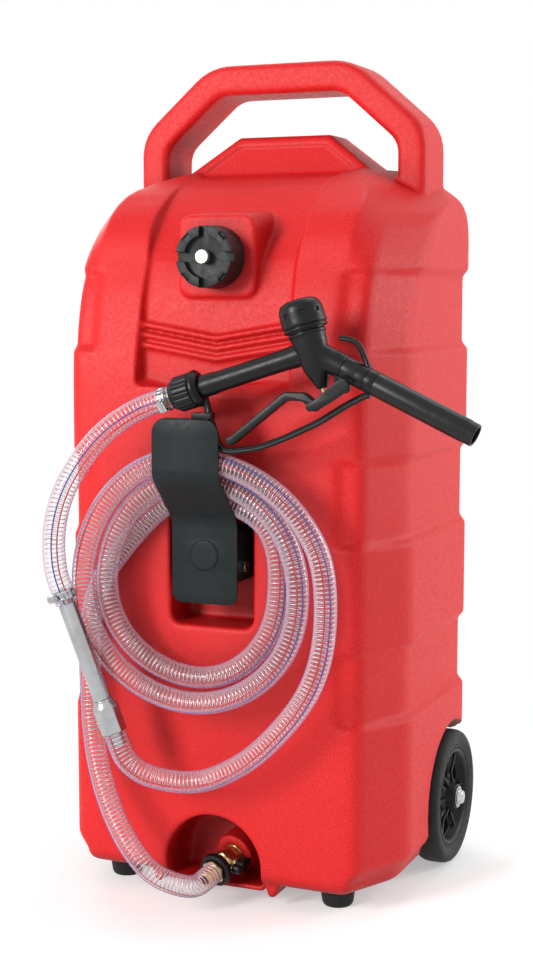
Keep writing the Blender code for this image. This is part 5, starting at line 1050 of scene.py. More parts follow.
def shell_section(height, depth):
    """The shell's level outline at this height."""
    share = (height - SHOULDER_BASE) / SHOULDER_RISE
    front, corner, side, corner_width, side_width, back = smooth_row(SHOULDER_SHARES, share)
    front_y = -FRONT_REACH + front * FRONT_SWEEP
    corner_y = -CORNER_REACH + corner * FRONT_SWEEP
    side_y = -SIDE_REACH + side * SIDE_SWEEP
    back_y = BACK_REACH - back * BACK_SWEEP
    above = (height - BASE_HEIGHT - BASE_ROUNDING) / BASE_NARROW_RISE
    narrow = BASE_NARROW * min(1, max(0, 1 - above))
    corner_x = CORNER_HALF_WIDTH * corner_width - narrow
    side_x = HALF_WIDTH * side_width - depth - narrow
    end_x = GROOVE_END * corner_width
    chamfer = min(BACK_CHAMFER, (back_y - side_y) / 2)
    half = [
        (end_x, front_y), (end_x + GROOVE_SLOPE * corner_width, front_y + depth),
        (corner_x, corner_y + depth), (side_x, side_y + depth / 2),
        (side_x, back_y - chamfer), (side_x - chamfer, back_y),
    ]
    return half + [(-x, y) for x, y in reversed(half)]


def shell_body():
    """The tank's plain body, with soft upright edges and a rounded base."""
    start, top = BASE_HEIGHT + BASE_ROUNDING, SHOULDER_BASE + SHOULDER_RISE
    plain = shell_section(start, 0)
    rings = []
    for i in range(6):
        angle = pi / 2 * i / 5
        inward = BASE_ROUNDING * (1 - sin(angle)) + 0.00001 * (5 - i)
        rings.append((BASE_HEIGHT + BASE_ROUNDING * (1 - cos(angle)), inset(plain, inward)))
    heights = {start + (top - start) * i / SHELL_LEVELS for i in range(1, SHELL_LEVELS + 1)}
    heights.update(height for height, _ in groove_stations())
    rings += [(height, shell_section(height, groove_depth(height))) for height in sorted(heights)]
    return loft("tank_skin", [flat(rounded(outline, SHELL_BEND), level) for level, outline in rings])


def panel_cutter():
    """The space in front of the recessed panel, wider in front, with a V-shaped lower edge."""
    rings = []
    front = -FRONT_REACH - 0.020
    for i in range(PANEL_LEVELS + 1):
        share = i / PANEL_LEVELS
        back = -PANEL_REACH + PANEL_SWEEP * smooth_row(PANEL_SHARES, share)[0]
        flare = PANEL_HALF_WIDTH + PANEL_FLARE * (back - front) / PANEL_REACH
        low = PANEL_BASE + PANEL_RISE * share - PANEL_DROP * (1 - share) ** 2
        side = low + PANEL_DROP * (1 - share)
        lip = GROOVE_SLOPE * (1 - share) * 2
        ring = [at(-PANEL_HALF_WIDTH, back, side), at(0, back, low), at(PANEL_HALF_WIDTH, back, side)]
        ring += [at(flare, front, side - lip), at(0, front, low - lip), at(-flare, front, side - lip)]
        rings.append(ring)
    rings.append([point + Z_AXIS * 0.014 for point in rings[-1]])
    return loft("panel_recess", rings)


def chevron(number):
    """One of the V-shaped ribs across the panel."""
    half = PANEL_HALF_WIDTH + 0.003
    low = CHEVRON_LOW + CHEVRON_STEP * number
    path = [(-half, low + CHEVRON_RISE), (0, low), (half, low + CHEVRON_RISE)]
    front = -PANEL_REACH - CHEVRON_PROUD
    return slab("chevron", bar_outline(path, [CHEVRON_THICK] * 3), front, front + CHEVRON_PROUD * 3)


def handle_arch():
    right = [
        (HANDLE_CORNER_HALF, HANDLE_TOP), (HANDLE_HALF_WIDTH, HANDLE_CORNER_HEIGHT),
        (HANDLE_HALF_WIDTH, HANDLE_FOOT),
    ]
    plain = [(-x, z) for x, z in reversed(right)] + right

    def side(distance, bend):
        points = inset(plain, distance)
        points[0].y = points[-1].y = HANDLE_FOOT
        return rounded(points, bend, 5, False)

    skins = []
    for angle in map(radians, (0, 22, 45, 68, 90)):
        distance = HANDLE_ROUND * (1 - sin(angle))
        outline = side(distance, HANDLE_OUTER_BEND) + side(HANDLE_THICK - distance, HANDLE_INNER_BEND)[::-1]
        skins.append((outline, HANDLE_ROUND * (1 - cos(angle))))
    return stack("handle_arch", skins, HANDLE_FRONT, HANDLE_FRONT + HANDLE_DEPTH)


def crest_outline(low):
    right = [(CREST_HALF_TOP, CREST_TOP), (CREST_HALF_BASE, CREST_BASE), (CREST_HALF_BASE, low)]
    return [(-x, z) for x, z in reversed(right)] + right


def leaning(outline, sunk, deep):
    """A ring of the crest, inset and moved back by these distances."""
    return upright(inset(outline, sunk), CREST_FRONT + deep, CREST_LEAN, CREST_BASE)


def crest():
    outline = crest_outline(HANDLE_FOOT)
    rings = [leaning(outline, CREST_ROUND * sunk, CREST_ROUND * deep) for deep, sunk in SOFT_EDGE]
    return loft("crest", [*rings, upright(outline, HANDLE_FRONT + HANDLE_DEPTH - CREST_ROUND)])


def crest_recess():
    outline = inset(crest_outline(CREST_BASE - CREST_RIM - 0.0015), CREST_RIM)
    rings = [leaning(outline, 0, -CREST_RECESS * 3), leaning(outline, CREST_RECESS / 2, CREST_RECESS)]
    return loft("crest_recess", rings)


def filler_boss():
    outline = rectangle(BOSS_HALF_WIDTH, BOSS_BASE, BOSS_TOP, BOSS_RADIUS)
    rounding = BOSS_DRAFT / 2
    edge = [(rounding * deep, rounding * sunk) for deep, sunk in SOFT_EDGE]
    rings = [upright(inset(outline, sunk), deep - BOSS_FACE) for deep, sunk in edge]
    return loft("filler_boss", [*rings, upright(inset(outline, -BOSS_DRAFT), BOSS_DEPTH - BOSS_FACE)])


def front_cutter(name, outline, levels):
    """A cutter into the tank's front, with an inset of the outline at each depth."""
    return loft(name, [upright(inset(outline, sunk), deep - FRONT_REACH) for deep, sunk in levels])


def pocket():
    outline = rectangle(POCKET_HALF_WIDTH, POCKET_LOW, POCKET_LOW + POCKET_HEIGHT, POCKET_RADIUS)
    return front_cutter("pocket", outline, ((-0.004, -0.004), (0.004, 0), (POCKET_DEPTH, 0.002)))


def drain_recess():
    angles = [pi * i / 24 for i in range(25)]
    middle = ARCH_TOP - ARCH_RADIUS
    outline = [(ARCH_RADIUS * cos(angle), middle + ARCH_RADIUS * sin(angle)) for angle in angles]
    outline += [(-ARCH_RADIUS, BASE_HEIGHT - 0.004), (ARCH_RADIUS, BASE_HEIGHT - 0.004)]
    levels = [(-0.004, -0.004), (0.004, 0), (ARCH_DEPTH - BOSS_RADIUS, 0)]
    levels += [(ARCH_DEPTH - BOSS_RADIUS / 3, 0.0025), (ARCH_DEPTH, 0.007)]
    return front_cutter("drain_recess", outline, levels)


def wheel_arch(side):
    start = at(side * (WHEEL_INNER - 0.0028), WHEEL_BACK, WHEEL_RADIUS)
    end = at(side * (HALF_WIDTH + 0.004), WHEEL_BACK, WHEEL_RADIUS)
    return rod("wheel_arch", start, end, WHEEL_RADIUS + WHEEL_GAP, 64)


def skid(side):
    """A narrow foot under the tank's front edge that tapers downwards."""
    middle, half = side * SKID_OFFSET, SKID_HALF_WIDTH
    top, low = BASE_HEIGHT + BASE_ROUNDING * 0.9, BASE_HEIGHT - SKID_DROP
    outline = [(middle - half, top), (middle + half, top), (middle + half / 4, low), (middle - half / 4, low)]
    front = -FRONT_REACH + BASE_ROUNDING * 0.4
    return slab("skid", outline, front, front + SKID_DEPTH)


def along_outlet(distance):
    return OUTLET_POINT - OUTLET_LINE * distance


def make_tank():
    """The moulded tank: panel, handle, crest, filler boss, skids, pocket, recess and cut-outs."""
    skin = shell_body()
    mouth = at(0, -BOSS_FACE, FILLER_HEIGHT)
    feet = [at(side * FOOT_SPREAD, -FOOT_REACH, 0) for side in (-1, 1)]
    wall = -FRONT_REACH + ARCH_DEPTH
    tools = cuts(panel_cutter()) + adds(handle_arch(), crest()) + cuts(crest_recess())
    tools += adds(*map(chevron, range(3)), filler_boss(), skid(-1), skid(1))
    tools += cuts(pocket(), drain_recess(), wheel_arch(-1), wheel_arch(1))
    tools += adds(
        rod("outlet_boss", along_outlet(VALVE_FACE + 0.026), along_outlet(VALVE_FACE), 0.024, 48),
        rod("filler_neck", mouth + Y_AXIS * BOSS_RADIUS, mouth - Y_AXIS * 0.0192, 0.029, 48),
    )
    tools += cuts(
        rod("insert_seat", along_outlet(VALVE_FACE - 0.004), along_outlet(VALVE_FACE + 0.0123), 0.0128),
        bar("axle_bore", WHEEL_MIDDLE, X_AXIS * (HALF_WIDTH + 0.004), 0.0066, 24),
        *[rod("foot_hole", foot, foot + Z_AXIS * 0.035, 0.0031, 16) for foot in feet],
    )
    tools += adds(block("base_pan", (-0.112, wall + 0.002, 0.0175), (0.112, 0.125, BASE_HEIGHT + 0.004)))
    tools += cuts(rod("neck_bore", mouth - Y_AXIS * 0.022, mouth + Y_AXIS * 0.040, 0.0235, 48))
    tools += adds(block("recess_lip", (-0.0605, -0.1520, 0.0165), (0.0605, wall + 0.004, 0.0225)))
    steps = [("REMESH", {"mode": "VOXEL", "voxel_size": TANK_VOXEL})]
    steps += [("SMOOTH", {"factor": 0.5, "iterations": TANK_SOFTEN}), ("DECIMATE", {"ratio": TANK_KEEP})]
    shaped(skin, tools, steps)
    skin.data.materials.clear()
    skin.data.materials.append(RED_PLASTIC)
    dress(skin, "tank", "tank_shell")


# Filler cap


def make_cap():
    """The screw cap with a ribbed wall and a ring in four parts, its seal and the vent pin."""
    place = place_along(-Y_AXIS, at(0, -BOSS_FACE - CAP_STANDOFF, FILLER_HEIGHT))
    crown = CAP_HEIGHT - CAP_RIM_HEIGHT
    under, face = crown - CAP_PLATE, crown - CAP_SINK
    inner, top = CAP_RADIUS - 0.0035, CAP_RADIUS - CAP_DRAFT
    ring = top - CAP_RIM

    def wave(turn, radius, height):
        if radius < CAP_RADIUS - 0.0032 or not 0.004 < height < crown + 0.002:
            return 0
        return -0.0005 * max(0.0, cos(turn * CAP_RIBS)) ** 8

    profile = [
        (inner, 0), (inner, under), (PIN_STEM + CLEARANCE, under), (PIN_STEM + CLEARANCE, face),
        (ring, face), (ring, CAP_HEIGHT), (top, CAP_HEIGHT), (top + 0.0006, crown + 0.0015),
        (CAP_RADIUS - 0.0008, crown - 0.0005), (CAP_RADIUS - 0.0004, 0.0045), (CAP_RADIUS, 0.0038),
        (CAP_RADIUS, 0),
    ]
    cap = lathe("filler_cap_body", profile, place, CAP_PLASTIC, 192, 0.0008, True, wave)
    tools = []
    far, above = CAP_RADIUS + 0.004, CAP_HEIGHT + 0.004
    for number in range(4):
        gap = spun(place, pi / 2 * number)
        window = spun(place, pi / 2 * (number + 0.5))
        notch = (top - 0.0030, -0.0050, CAP_HEIGHT - 0.0035)
        tools += cuts(block("cap_gap", (ring - 0.002, -0.0052, face), (far, 0.0052, above), gap))
        tools += cuts(block("cap_notch", notch, (far, 0.0050, above), window))
        low = (top - 0.0019, -0.0038, CAP_HEIGHT - 0.0036)
        tools += adds(block("cap_tongue", low, (top - 0.0004, 0.0038, CAP_HEIGHT - 0.0008), window))
    worked(cap, "filler_cap", "fuel_cap", tools, 0.0004)
    keeper = under - CLEARANCE
    profile = sleeve(0.0235, 0.0312, keeper - 0.0025, keeper)
    turned("filler_cap_seal", "filler_cap", "cap_gasket", profile, place, RUBBER, 48, 0.0003, True)
    head = crown + 0.0023
    profile = [
        (0, keeper - 0.0025), (0.0055, keeper - 0.0025), (0.0055, keeper), (PIN_STEM, keeper),
        (PIN_STEM, head), (PIN_RADIUS, head), (PIN_RADIUS, head + PIN_HEAD), (0, head + PIN_HEAD),
    ]
    turned("vent_button", "vent", "vent_pin", profile, place, PIN_BRASS, 48, 0.0007)


# Bracket


def screw_spot(side):
    return at(side * SCREW_SPREAD, POCKET_DEPTH - FRONT_REACH, CHANNEL_LOW + CHANNEL_HEIGHT / 2)


def make_bracket():
    """The coated steel hook that holds the hose: soft bends, a raised plain disc, the channel behind."""
    high, low = -BRACKET_FRONT, -BRACKET_LOW_FRONT
    line = [(high, BRACKET_TOP), (high, BRACKET_FOLD_HIGH), (low, BRACKET_FOLD_LOW), (low, BRACKET_BASE)]
    bent = rounded(line, FOLD_RADIUS, 8, False)
    fine = []
    for a, b in zip(bent, bent[1:]):
        steps = max(1, round((b - a).length / FOLD_STEP))
        fine += [a.lerp(b, i / steps) for i in range(steps)]
    fine.append(bent[-1])
    rings = []
    for point, mitre in zip(fine, mitres(fine)):
        edge = min(BRACKET_TOP - point.y, point.y - BRACKET_BASE)
        corner = BRACKET_CORNER * (1.5 if point.y > BRACKET_FOLD_HIGH else 1)
        near = max(0.0, corner - edge) / corner
        width = BRACKET_HALF_WIDTH - corner * (1 - sqrt(max(0.0, 1 - near**2)))
        outer, inner = point + mitre * (SHEET / 2), point - mitre * (SHEET / 2)
        rings.append([(-width, *outer), (width, *outer), (width, *inner), (-width, *inner)])
    sheet = loft("hose_hook", rings, BLACK_STEEL)
    wide, slim = CHANNEL_HALF_WIDTH, CHANNEL_HALF_WIDTH - SHEET
    front, back = low + SHEET / 4, -FRONT_REACH + POCKET_DEPTH - CLEARANCE
    outer = [(-wide, front), (-wide, back), (wide, back), (wide, front)]
    inner = [(-slim, front), (-slim, back - SHEET), (slim, back - SHEET), (slim, front)]
    outline = rounded(outer, 0.005, 4, False) + rounded(inner, 0.003, 4, False)[::-1]
    levels = (CHANNEL_LOW, CHANNEL_LOW + CHANNEL_HEIGHT)
    channel = loft("hook_channel", [flat(outline, level) for level in levels])
    proud = SHEET / 2 + DISC_PROUD
    profile = [(0, 0), (DISC_RADIUS, 0), (DISC_RADIUS, SHEET / 2 + DISC_PROUD * 0.4)]
    profile += [(DISC_RADIUS - 0.002, proud), (0, proud)]
    disc = lathe("hook_disc", profile, place_along(-Y_AXIS, at(0, low, DISC_HEIGHT)), None, 64, 0.0008)
    spots = [screw_spot(side) for side in (-1, 1)]
    ways = [rod("screw_way", spot - Y_AXIS * 0.0065, spot + Y_AXIS * 0.004, 0.0033, 24) for spot in spots]
    tools = adds(channel, disc) + cuts(*ways, bar("cross_way", CROSS_BOLT, X_AXIS * 0.044, BOLT_WAY, 24))
    worked(sheet, "tank", "hose_bracket", tools, 0.0006)


def make_screws():
    """Hexagon bolt across the channel, its nut and the two pan-head screws."""
    place = place_along(X_AXIS, CROSS_BOLT, Z_AXIS)
    end, head = -CHANNEL_HALF_WIDTH - SHEET, CHANNEL_HALF_WIDTH + CLEARANCE
    profile = [
        (0, end), (0.0040, end), (0.0040, head), (BOLT_HEAD, head), (BOLT_HEAD, head + 0.0030),
        (0.0058, head + 0.0036), (0, head + 0.0036),
    ]
    six = hexagon(BOLT_HEAD)
    turned("cross_bolt", "tank", "bracket_cross_bolt", profile, place, ZINC, 96, 0.0003, False, six)
    inner = CLEARANCE + SHEET - CHANNEL_HALF_WIDTH
    profile = sleeve(BOLT_WAY, BOLT_HEAD, inner, inner + 0.0056)
    turned("cross_nut", "tank", "bracket_cross_nut", profile, place, ZINC, 96, 0.0003, True, six)
    base = CLEARANCE * 2 + SHEET
    profile = [
        (0, -0.009), (0.003, -0.009), (0.003, base), (0.0055, base), (0.0052, base + 0.0018),
        (0.0036, base + 0.0030), (0, base + 0.0030),
    ]
    for side, word in ((-1, "left"), (1, "right")):
        place = place_along(-Y_AXIS, screw_spot(side))
        screw = lathe("channel_screw_" + word, profile, place, ZINC, 32, 0.0004)
        slot = block("slot", (-0.0040, -0.0005, base + 0.0016), (0.0040, 0.0005, base + 0.0050), place)
        worked(screw, "tank", "bracket_screw_" + word, cuts(slot))


# Drain valve


def outlet_frame(distance):
    return place_along(OUTLET_LINE, along_outlet(distance))


def make_valve():
    """Brass ball valve with its bush, knob, swivel nut and hose barb."""
    profile = sleeve(BORE, 0.0125, -0.012, 0)
    bush = profile, outlet_frame(VALVE_FACE), BRASS, 48, 0.0004, True
    turned("drain_bush", "tank", "outlet_insert", *bush)
    half = VALVE_LENGTH / 2
    middle = UNION_LENGTH + CLEARANCE * 2 + half
    profile = [
        (BORE, -half), (BORE, half), (0.0118, half), (0.0125, half - 0.001), (0.0118, half - 0.0025),
        (0.0125, half - 0.004), (0.0118, half - 0.0055), (0.0125, half * 0.5), (0.0145, half * 0.42),
        (0.0145, -half * 0.42), (0.0125, -half * 0.5), (0.0118, -half * 0.56), (0.0125, -half * 0.66),
        (0.0118, -half * 0.76), (0.0125, -half * 0.88), (0.0118, -half),
    ]
    six = hexagon(0.0150, -half * 0.46, half * 0.46)
    body = lathe("drain_valve", profile, outlet_frame(middle), BRASS, 96, 0.0004, True, six)
    stem = (X_AXIS - OUTLET_LINE * X_AXIS.dot(OUTLET_LINE)).normalized()
    centre = along_outlet(middle)
    ball = [(0.0093 * cos(a), 0.0093 * sin(a)) for a in map(radians, range(-90, 91, 15))]
    tools = adds(rod("stem_housing", centre + stem * 0.0099, centre + stem * 0.0165, 0.007, 48, 0.0005))
    tools += cuts(lathe("ball_chamber", ball, outlet_frame(middle)))
    tools += cuts(rod("stem_way", centre + stem * 0.002, centre + stem * 0.0205, 0.0033, 24))
    worked(body, "tank", "valve_body", tools)
    place = place_along(stem, centre, -OUTLET_LINE)
    low, high = 0.0168, 0.0268
    outline = [(0.0137, 0.0030), (0.0137, -0.0030), (0.0100, -0.0056), (0.0040, -0.0044), (0, -0.0064)]
    outline += [(-0.0040, -0.0044), (-0.0100, -0.0056)]
    outline = rounded(outline + [(-x, -y) for x, y in outline], 0.0028, 4)
    levels = [(low, 0.0008), (low + 0.0008, 0), (high - 0.002, 0), (high - 0.0006, 0.0007), (high, 0.0022)]
    rings = [flat(inset(outline, sunk), level) for level, sunk in levels]
    knob = loft("drain_knob", rings, BLACK_PLASTIC, place)
    rise = high + 0.0002
    hub = [(0, low - 0.0001), (0.0074, low), (0.0074, high - 0.0012), (0.0060, rise), (0, rise)]
    tools = adds(lathe("knob_hub", hub, place, None, 48, 0.0005))
    tools += cuts(lathe("knob_way", plug(0.0033, 0, 0.0224), place, None, 24))
    worked(knob, "drain_handle", "valve_knob", tools, 0, SMOOTH_ANGLE)
    end = UNION_LENGTH - 0.00325
    profile = [
        (COLLAR_BORE, 0), (0.0190, 0), (NUT_RADIUS, 0.0010), (NUT_RADIUS, end - 0.001), (0.0186, end),
        (0.0148, end), (0.0140, end - 0.0012), (COLLAR_BORE, end - 0.0012),
    ]
    nut = profile, outlet_frame(UNION_LENGTH + CLEARANCE), BLACK_PLASTIC, 144, 0.0006, True
    turned("swivel_nut", "tank", "union_nut", *nut, ribs(18, 0.0009, 0.0180))
    profile = [
        (BORE, -UNION_LENGTH), (0.0080, -UNION_LENGTH), (0.0080, -0.0026), (0.0142, -0.0026),
        (0.0142, -0.0003), (0.0088, -0.0003), (0.0092, 0.0020), (0.0082, 0.0050), (0.0092, 0.0055),
        (0.0082, 0.0090), (0.0092, 0.0095), (0.0078, 0.0155), (0.0070, 0.0160), (BORE, 0.0160),
    ]
    barb = profile, outlet_frame(0), BRASS, 96, 0.0003, True
    turned("outlet_hose_barb", "tank", "outlet_barb", *barb, hexagon(0.0150, -0.004, -0.0002))
    paint_node("valve_ball", CHROME)


# Wheels, axle and feet


def wheel_frame(side, outward):
    point = at(side * (WHEEL_INNER + outward), WHEEL_BACK, WHEEL_RADIUS)
    return place_along(X_AXIS * side, point, Z_AXIS)


def make_wheel(side, word):
    """Tyre, rim with windows and spokes, bush, washers and the axle's domed cap."""
    body = "wheel_" + word
    place = wheel_frame(side, HUB_WIDTH / 2)
    inner = WHEEL_RADIUS - 0.0225
    half = [
        (inner, 0.0140), (0.0606, 0.0158), (0.0624, 0.0162), (0.0634, 0.0153), (0.0656, 0.0162),
        (0.0690, 0.0175), (0.0730, 0.0180), (0.0766, 0.0172), (0.0793, 0.0150), (0.0810, 0.0110),
        (WHEEL_RADIUS, 0.0055),
    ]
    profile = [(radius, -height) for radius, height in half] + half[::-1]
    turned("wheel_tyre_" + word, body, "tyre_" + word, profile, place, TYRE_RUBBER, 96, 0.0, True)
    outer = inner - CLEARANCE
    wall = outer - 0.005
    profile = [
        (0.0091, -0.0190), (0.0150, -0.0190), (0.0180, -0.0040), (wall - 0.001, -0.0040),
        (wall + 0.001, -0.0145), (outer, -0.0145), (outer, 0.0145), (outer - 0.0022, 0.0150),
        (wall, 0.0125), (wall - 0.0030, 0.0030), (0.0230, 0.0040), (0.0165, 0.0080),
        (0.0150, 0.0190), (0.0091, 0.0190),
    ]
    rim = lathe("wheel_disc_" + word, profile, place, RIM_PLASTIC, 96, 0.0010, True)
    corners = [(0.0215, turn) for turn in (-0.8, 0.8)]
    corners += [(wall - 0.0035, turn) for turn in (1, 0.5, 0, -0.5, -1)]
    angle = pi / 6 * (1 - 0.36)
    window = rounded([(r * cos(angle * turn), r * sin(angle * turn)) for r, turn in corners], 0.004, 4)
    window = [flat(window, level) for level in (-0.010, 0.010)]
    path = [(0.0165, 0.0100), (0.0300, 0.0056), (wall - 0.0002, 0.0070)]
    levels = ((-0.0019, 0.0006), (-0.0013, 0), (0.0013, 0), (0.0019, 0.0006))
    spoke = [upright(inset(bar_outline(path, [0.0034] * 3), sunk), across) for across, sunk in levels]
    step = 2 * pi / SPOKES
    tools = cuts(*[loft("window", window, None, spun(place, step * i)) for i in range(SPOKES)])
    tools += adds(*[loft("spoke", spoke, None, spun(place, step * (i + 0.5))) for i in range(SPOKES)])
    worked(rim, body, "wheel_rim_" + word, tools, 0.0005)
    profile = sleeve(AXLE_BORE, 0.0091, -0.01925, 0.01925)
    turned("hub_bush_" + word, body, "wheel_bush_" + word, profile, place, ZINC, 48, 0.0003, True)
    profile = sleeve(AXLE_BORE, 0.0130, 0, WASHER)
    for where, outward in (("inner", -WASHER - CLEARANCE), ("outer", HUB_WIDTH + CLEARANCE)):
        ring = profile, wheel_frame(side, outward), ZINC, 48, 0.0003, True
        turned(where + "_washer_" + word, "tank", "washer_" + where + "_" + word, *ring)
    base = HUB_WIDTH + WASHER + CLEARANCE * 2
    top = base + 0.0055 + 0.0008
    profile = [
        (0, top - 0.0025), (AXLE_BORE, top - 0.0025), (AXLE_BORE, base), (0.0096, base),
        (0.0099, base + 0.0006), (0.0092, base + 0.0014), (0.0086, base + 0.0030),
        (0.0072, top - 0.0011), (0.0045, top - 0.0002), (0, top),
    ]
    dome = profile, wheel_frame(side, 0), CHROME, 64, 0.0004
    turned("axle_dome_" + word, "tank", "axle_cap_" + word, *dome)


def make_axle():
    half = X_AXIS * (WHEEL_INNER + HUB_WIDTH + WASHER + CLEARANCE * 2 + 0.0055 - 0.0032)
    dress(bar("axle_bar", WHEEL_MIDDLE, half, 0.006, 48, 0.0006, ZINC), "tank", "axle")


def make_foot(side, word):
    """A rubber foot and the screw that holds it."""
    place = Matrix.Translation(at(side * FOOT_SPREAD, -FOOT_REACH, 0))
    top = BASE_HEIGHT - CLEARANCE
    profile = [
        (0.0031, 0.007), (0.0031, top), (0.0220, top), (0.0220, top - 0.0020), (0.0205, top - 0.0040),
        (0.0180, 0.0035), (0.0160, 0.0), (0.0058, 0.0), (0.0058, 0.007),
    ]
    turned("rubber_foot_" + word, "tank", "foot_" + word, profile, place, RUBBER, 64, 0.0012, True)
    seat = 0.007 - CLEARANCE
    low = seat - 0.00275
    profile = [(0, low), (0.0040, low), (0.0055, low + 0.0012), (0.0055, seat), (0.0028, seat)]
    profile += [(0.0028, 0.034), (0, 0.034)]
    turned("foot_fixing_" + word, "tank", "foot_screw_" + word, profile, place, ZINC, 32, 0.0004)


# Nozzle


def nozzle_frame(line, start=0.0):
    return place_along(line, NOZZLE_MIDDLE + line * start, Y_AXIS)


def nozzle_path(shares):
    return [(NOZZLE_MIDDLE.x + NOZZLE_SPAN * x, NOZZLE_MIDDLE.z + NOZZLE_SPAN * z) for x, z in shares]


def strip(name, path, wide, thick, groove):
    """A moulded bar along an upright path at the nozzle's middle, with a shallow groove along its front."""
    half, deep, soft = wide / 2, thick / 2, min(wide, thick) * 0.22
    section = [
        (half - soft, -deep), (half * 0.42, -deep), (half * 0.30, -deep + groove),
        (-half * 0.30, -deep + groove), (-half * 0.42, -deep), (-half + soft, -deep),
        (-half, -deep + soft), (-half, deep - soft), (-half + soft, deep), (half - soft, deep),
        (half, deep - soft), (half, -deep + soft),
    ]
    rings = [
        [(here.x + mitre.x * a, b, here.y + mitre.y * a) for a, b in section]
        for here, mitre in zip(path, mitres(path))
    ]
    return loft(name, rings, None, Matrix.Translation(Y_AXIS * NOZZLE_MIDDLE.y))


def make_nozzle_body():
    """Tapered valve tower, grip with a slim raised bare panel, spout socket and trigger lugs."""
    tower = nozzle_frame(TOWER_LINE)
    profile = [
        (0, -TOWER_DROP), (0.0052, -TOWER_DROP), (0.0080, -TOWER_DROP * 0.84),
        (0.0124, -TOWER_DROP * 0.60), (0.0146, -TOWER_DROP * 0.44), (0.0160, -TOWER_DROP * 0.22),
        (0.0186, 0.010), (0.0192, 0.0170), (0.0206, 0.0178), (0.0206, 0.0205), (0.0190, 0.0212),
        (0.0200, 0.0265), (0.0200, TOWER_RISE), (0, TOWER_RISE),
    ]
    body = lathe("nozzle_tower", profile, tower, BLACK_PLASTIC, 72, 0.0012)
    end = GRIP_LENGTH
    profile = [
        (0, 0), (0.0122, 0), (0.0122, 0.022), (0.0114, 0.034), (0.0112, 0.070), (0.0114, end - 0.020),
        (0.0124, end - 0.010), (0.0124, end - 0.0006), (0.0118, end), (0, end),
    ]
    tools = adds(lathe("nozzle_grip", profile, nozzle_frame(GRIP_LINE), None, 64, 0.0015))
    low, high = 0.042, 0.110
    outline = rounded([(low, 0.0052), (low, -0.0052), (high, -0.0052), (high, 0.0052)], 0.005, 6)
    levels = ((0.004, 0), (0.0119, 0), (0.0124, 0.0006))
    rings = [[(-p.y, level, p.x) for p in inset(outline, sunk)] for level, sunk in levels]
    tools += adds(loft("grip_panel", rings, None, place_along(GRIP_LINE, NOZZLE_MIDDLE, Z_AXIS)))
    reach = SOCKET_LENGTH
    profile = [(0, 0), (0.0142, 0), (0.0132, reach - 0.012), (0.0129, reach - 0.0012), (0.0128, reach)]
    profile.append((0, reach))
    tools += adds(lathe("nozzle_socket", profile, nozzle_frame(SPOUT_LINE), None, 64, 0.0010))
    near = TRIGGER_WIDTH / 2 + CLEARANCE
    turns = [radians(turn) for turn in range(165, 376, 15)]
    outline = [(PIVOT.x + 0.0060 * cos(turn), PIVOT.z + 0.0060 * sin(turn)) for turn in turns]
    outline += [(PIVOT.x + 0.0075, PIVOT.z + 0.032), (PIVOT.x - 0.0085, PIVOT.z + 0.032)]
    for face in (-near - LUG_THICK, near):
        y = NOZZLE_MIDDLE.y + face
        tools += adds(slab("lug", outline, y, y + LUG_THICK, 0.0005))
    start = NOZZLE_MIDDLE + SPOUT_LINE * (SPOUT_START - CLEARANCE)
    stop = NOZZLE_MIDDLE + SPOUT_LINE * (reach + 0.015)
    tools += cuts(
        lathe("valve_chamber", plug(0.0130, -0.018, TOWER_RISE + 0.002), tower),
        rod("grip_way", NOZZLE_MIDDLE, NOZZLE_MIDDLE + GRIP_LINE * (end + 0.002), 0.007),
        rod("spout_seat", start, stop, RING_BORE, 64),
        rod("spout_way", NOZZLE_MIDDLE, stop, SPOUT_BORE, 48),
        lathe("stem_way", plug(0.0031, -0.043, 0), tower, None, 32),
        bar("pin_way", PIVOT, Y_AXIS * (near + 0.005), 0.0025),
    )
    worked(body, "tank", "nozzle_body", tools, 0.0004)


def make_nozzle_cap():
    """The domed screw cap with its lip ring and eight small notches."""
    radius, skirt, top = 0.0242, 0.0230, 0.0565
    high = top - skirt
    seat = TOWER_RISE + CLEARANCE
    place = nozzle_frame(TOWER_LINE)
    profile = [
        (0, seat - 0.0035), (0.0127, seat - 0.0035), (0.0127, seat), (0.0203, seat), (0.0203, skirt),
        (0.0228, skirt), (0.0236, skirt + 0.0008), (0.0236, skirt + 0.0028), (0.0226, skirt + 0.0034),
        (0.0226, skirt + 0.0042), (radius, skirt + 0.0050), (radius, skirt + 0.0085),
        (0.0238, skirt + high * 0.42), (0.0236, skirt + high * 0.62), (0.0226, skirt + high * 0.76),
        (0.0196, skirt + high * 0.89), (0.0140, skirt + high * 0.965), (0.0070, skirt + high * 0.995),
        (0, top),
    ]
    cap = lathe("valve_cap", profile, place, BLACK_PLASTIC, 96, 0.0009)
    low, far = (radius * 0.9, -0.0030, skirt + 0.0150), (radius + 0.003, 0.0030, skirt + 0.0195)
    notches = [block("valve_notch", low, far, spun(place, pi / 4 * (i + 0.5))) for i in range(8)]
    worked(cap, "tank", "nozzle_cap", cuts(*notches), 0.0004)


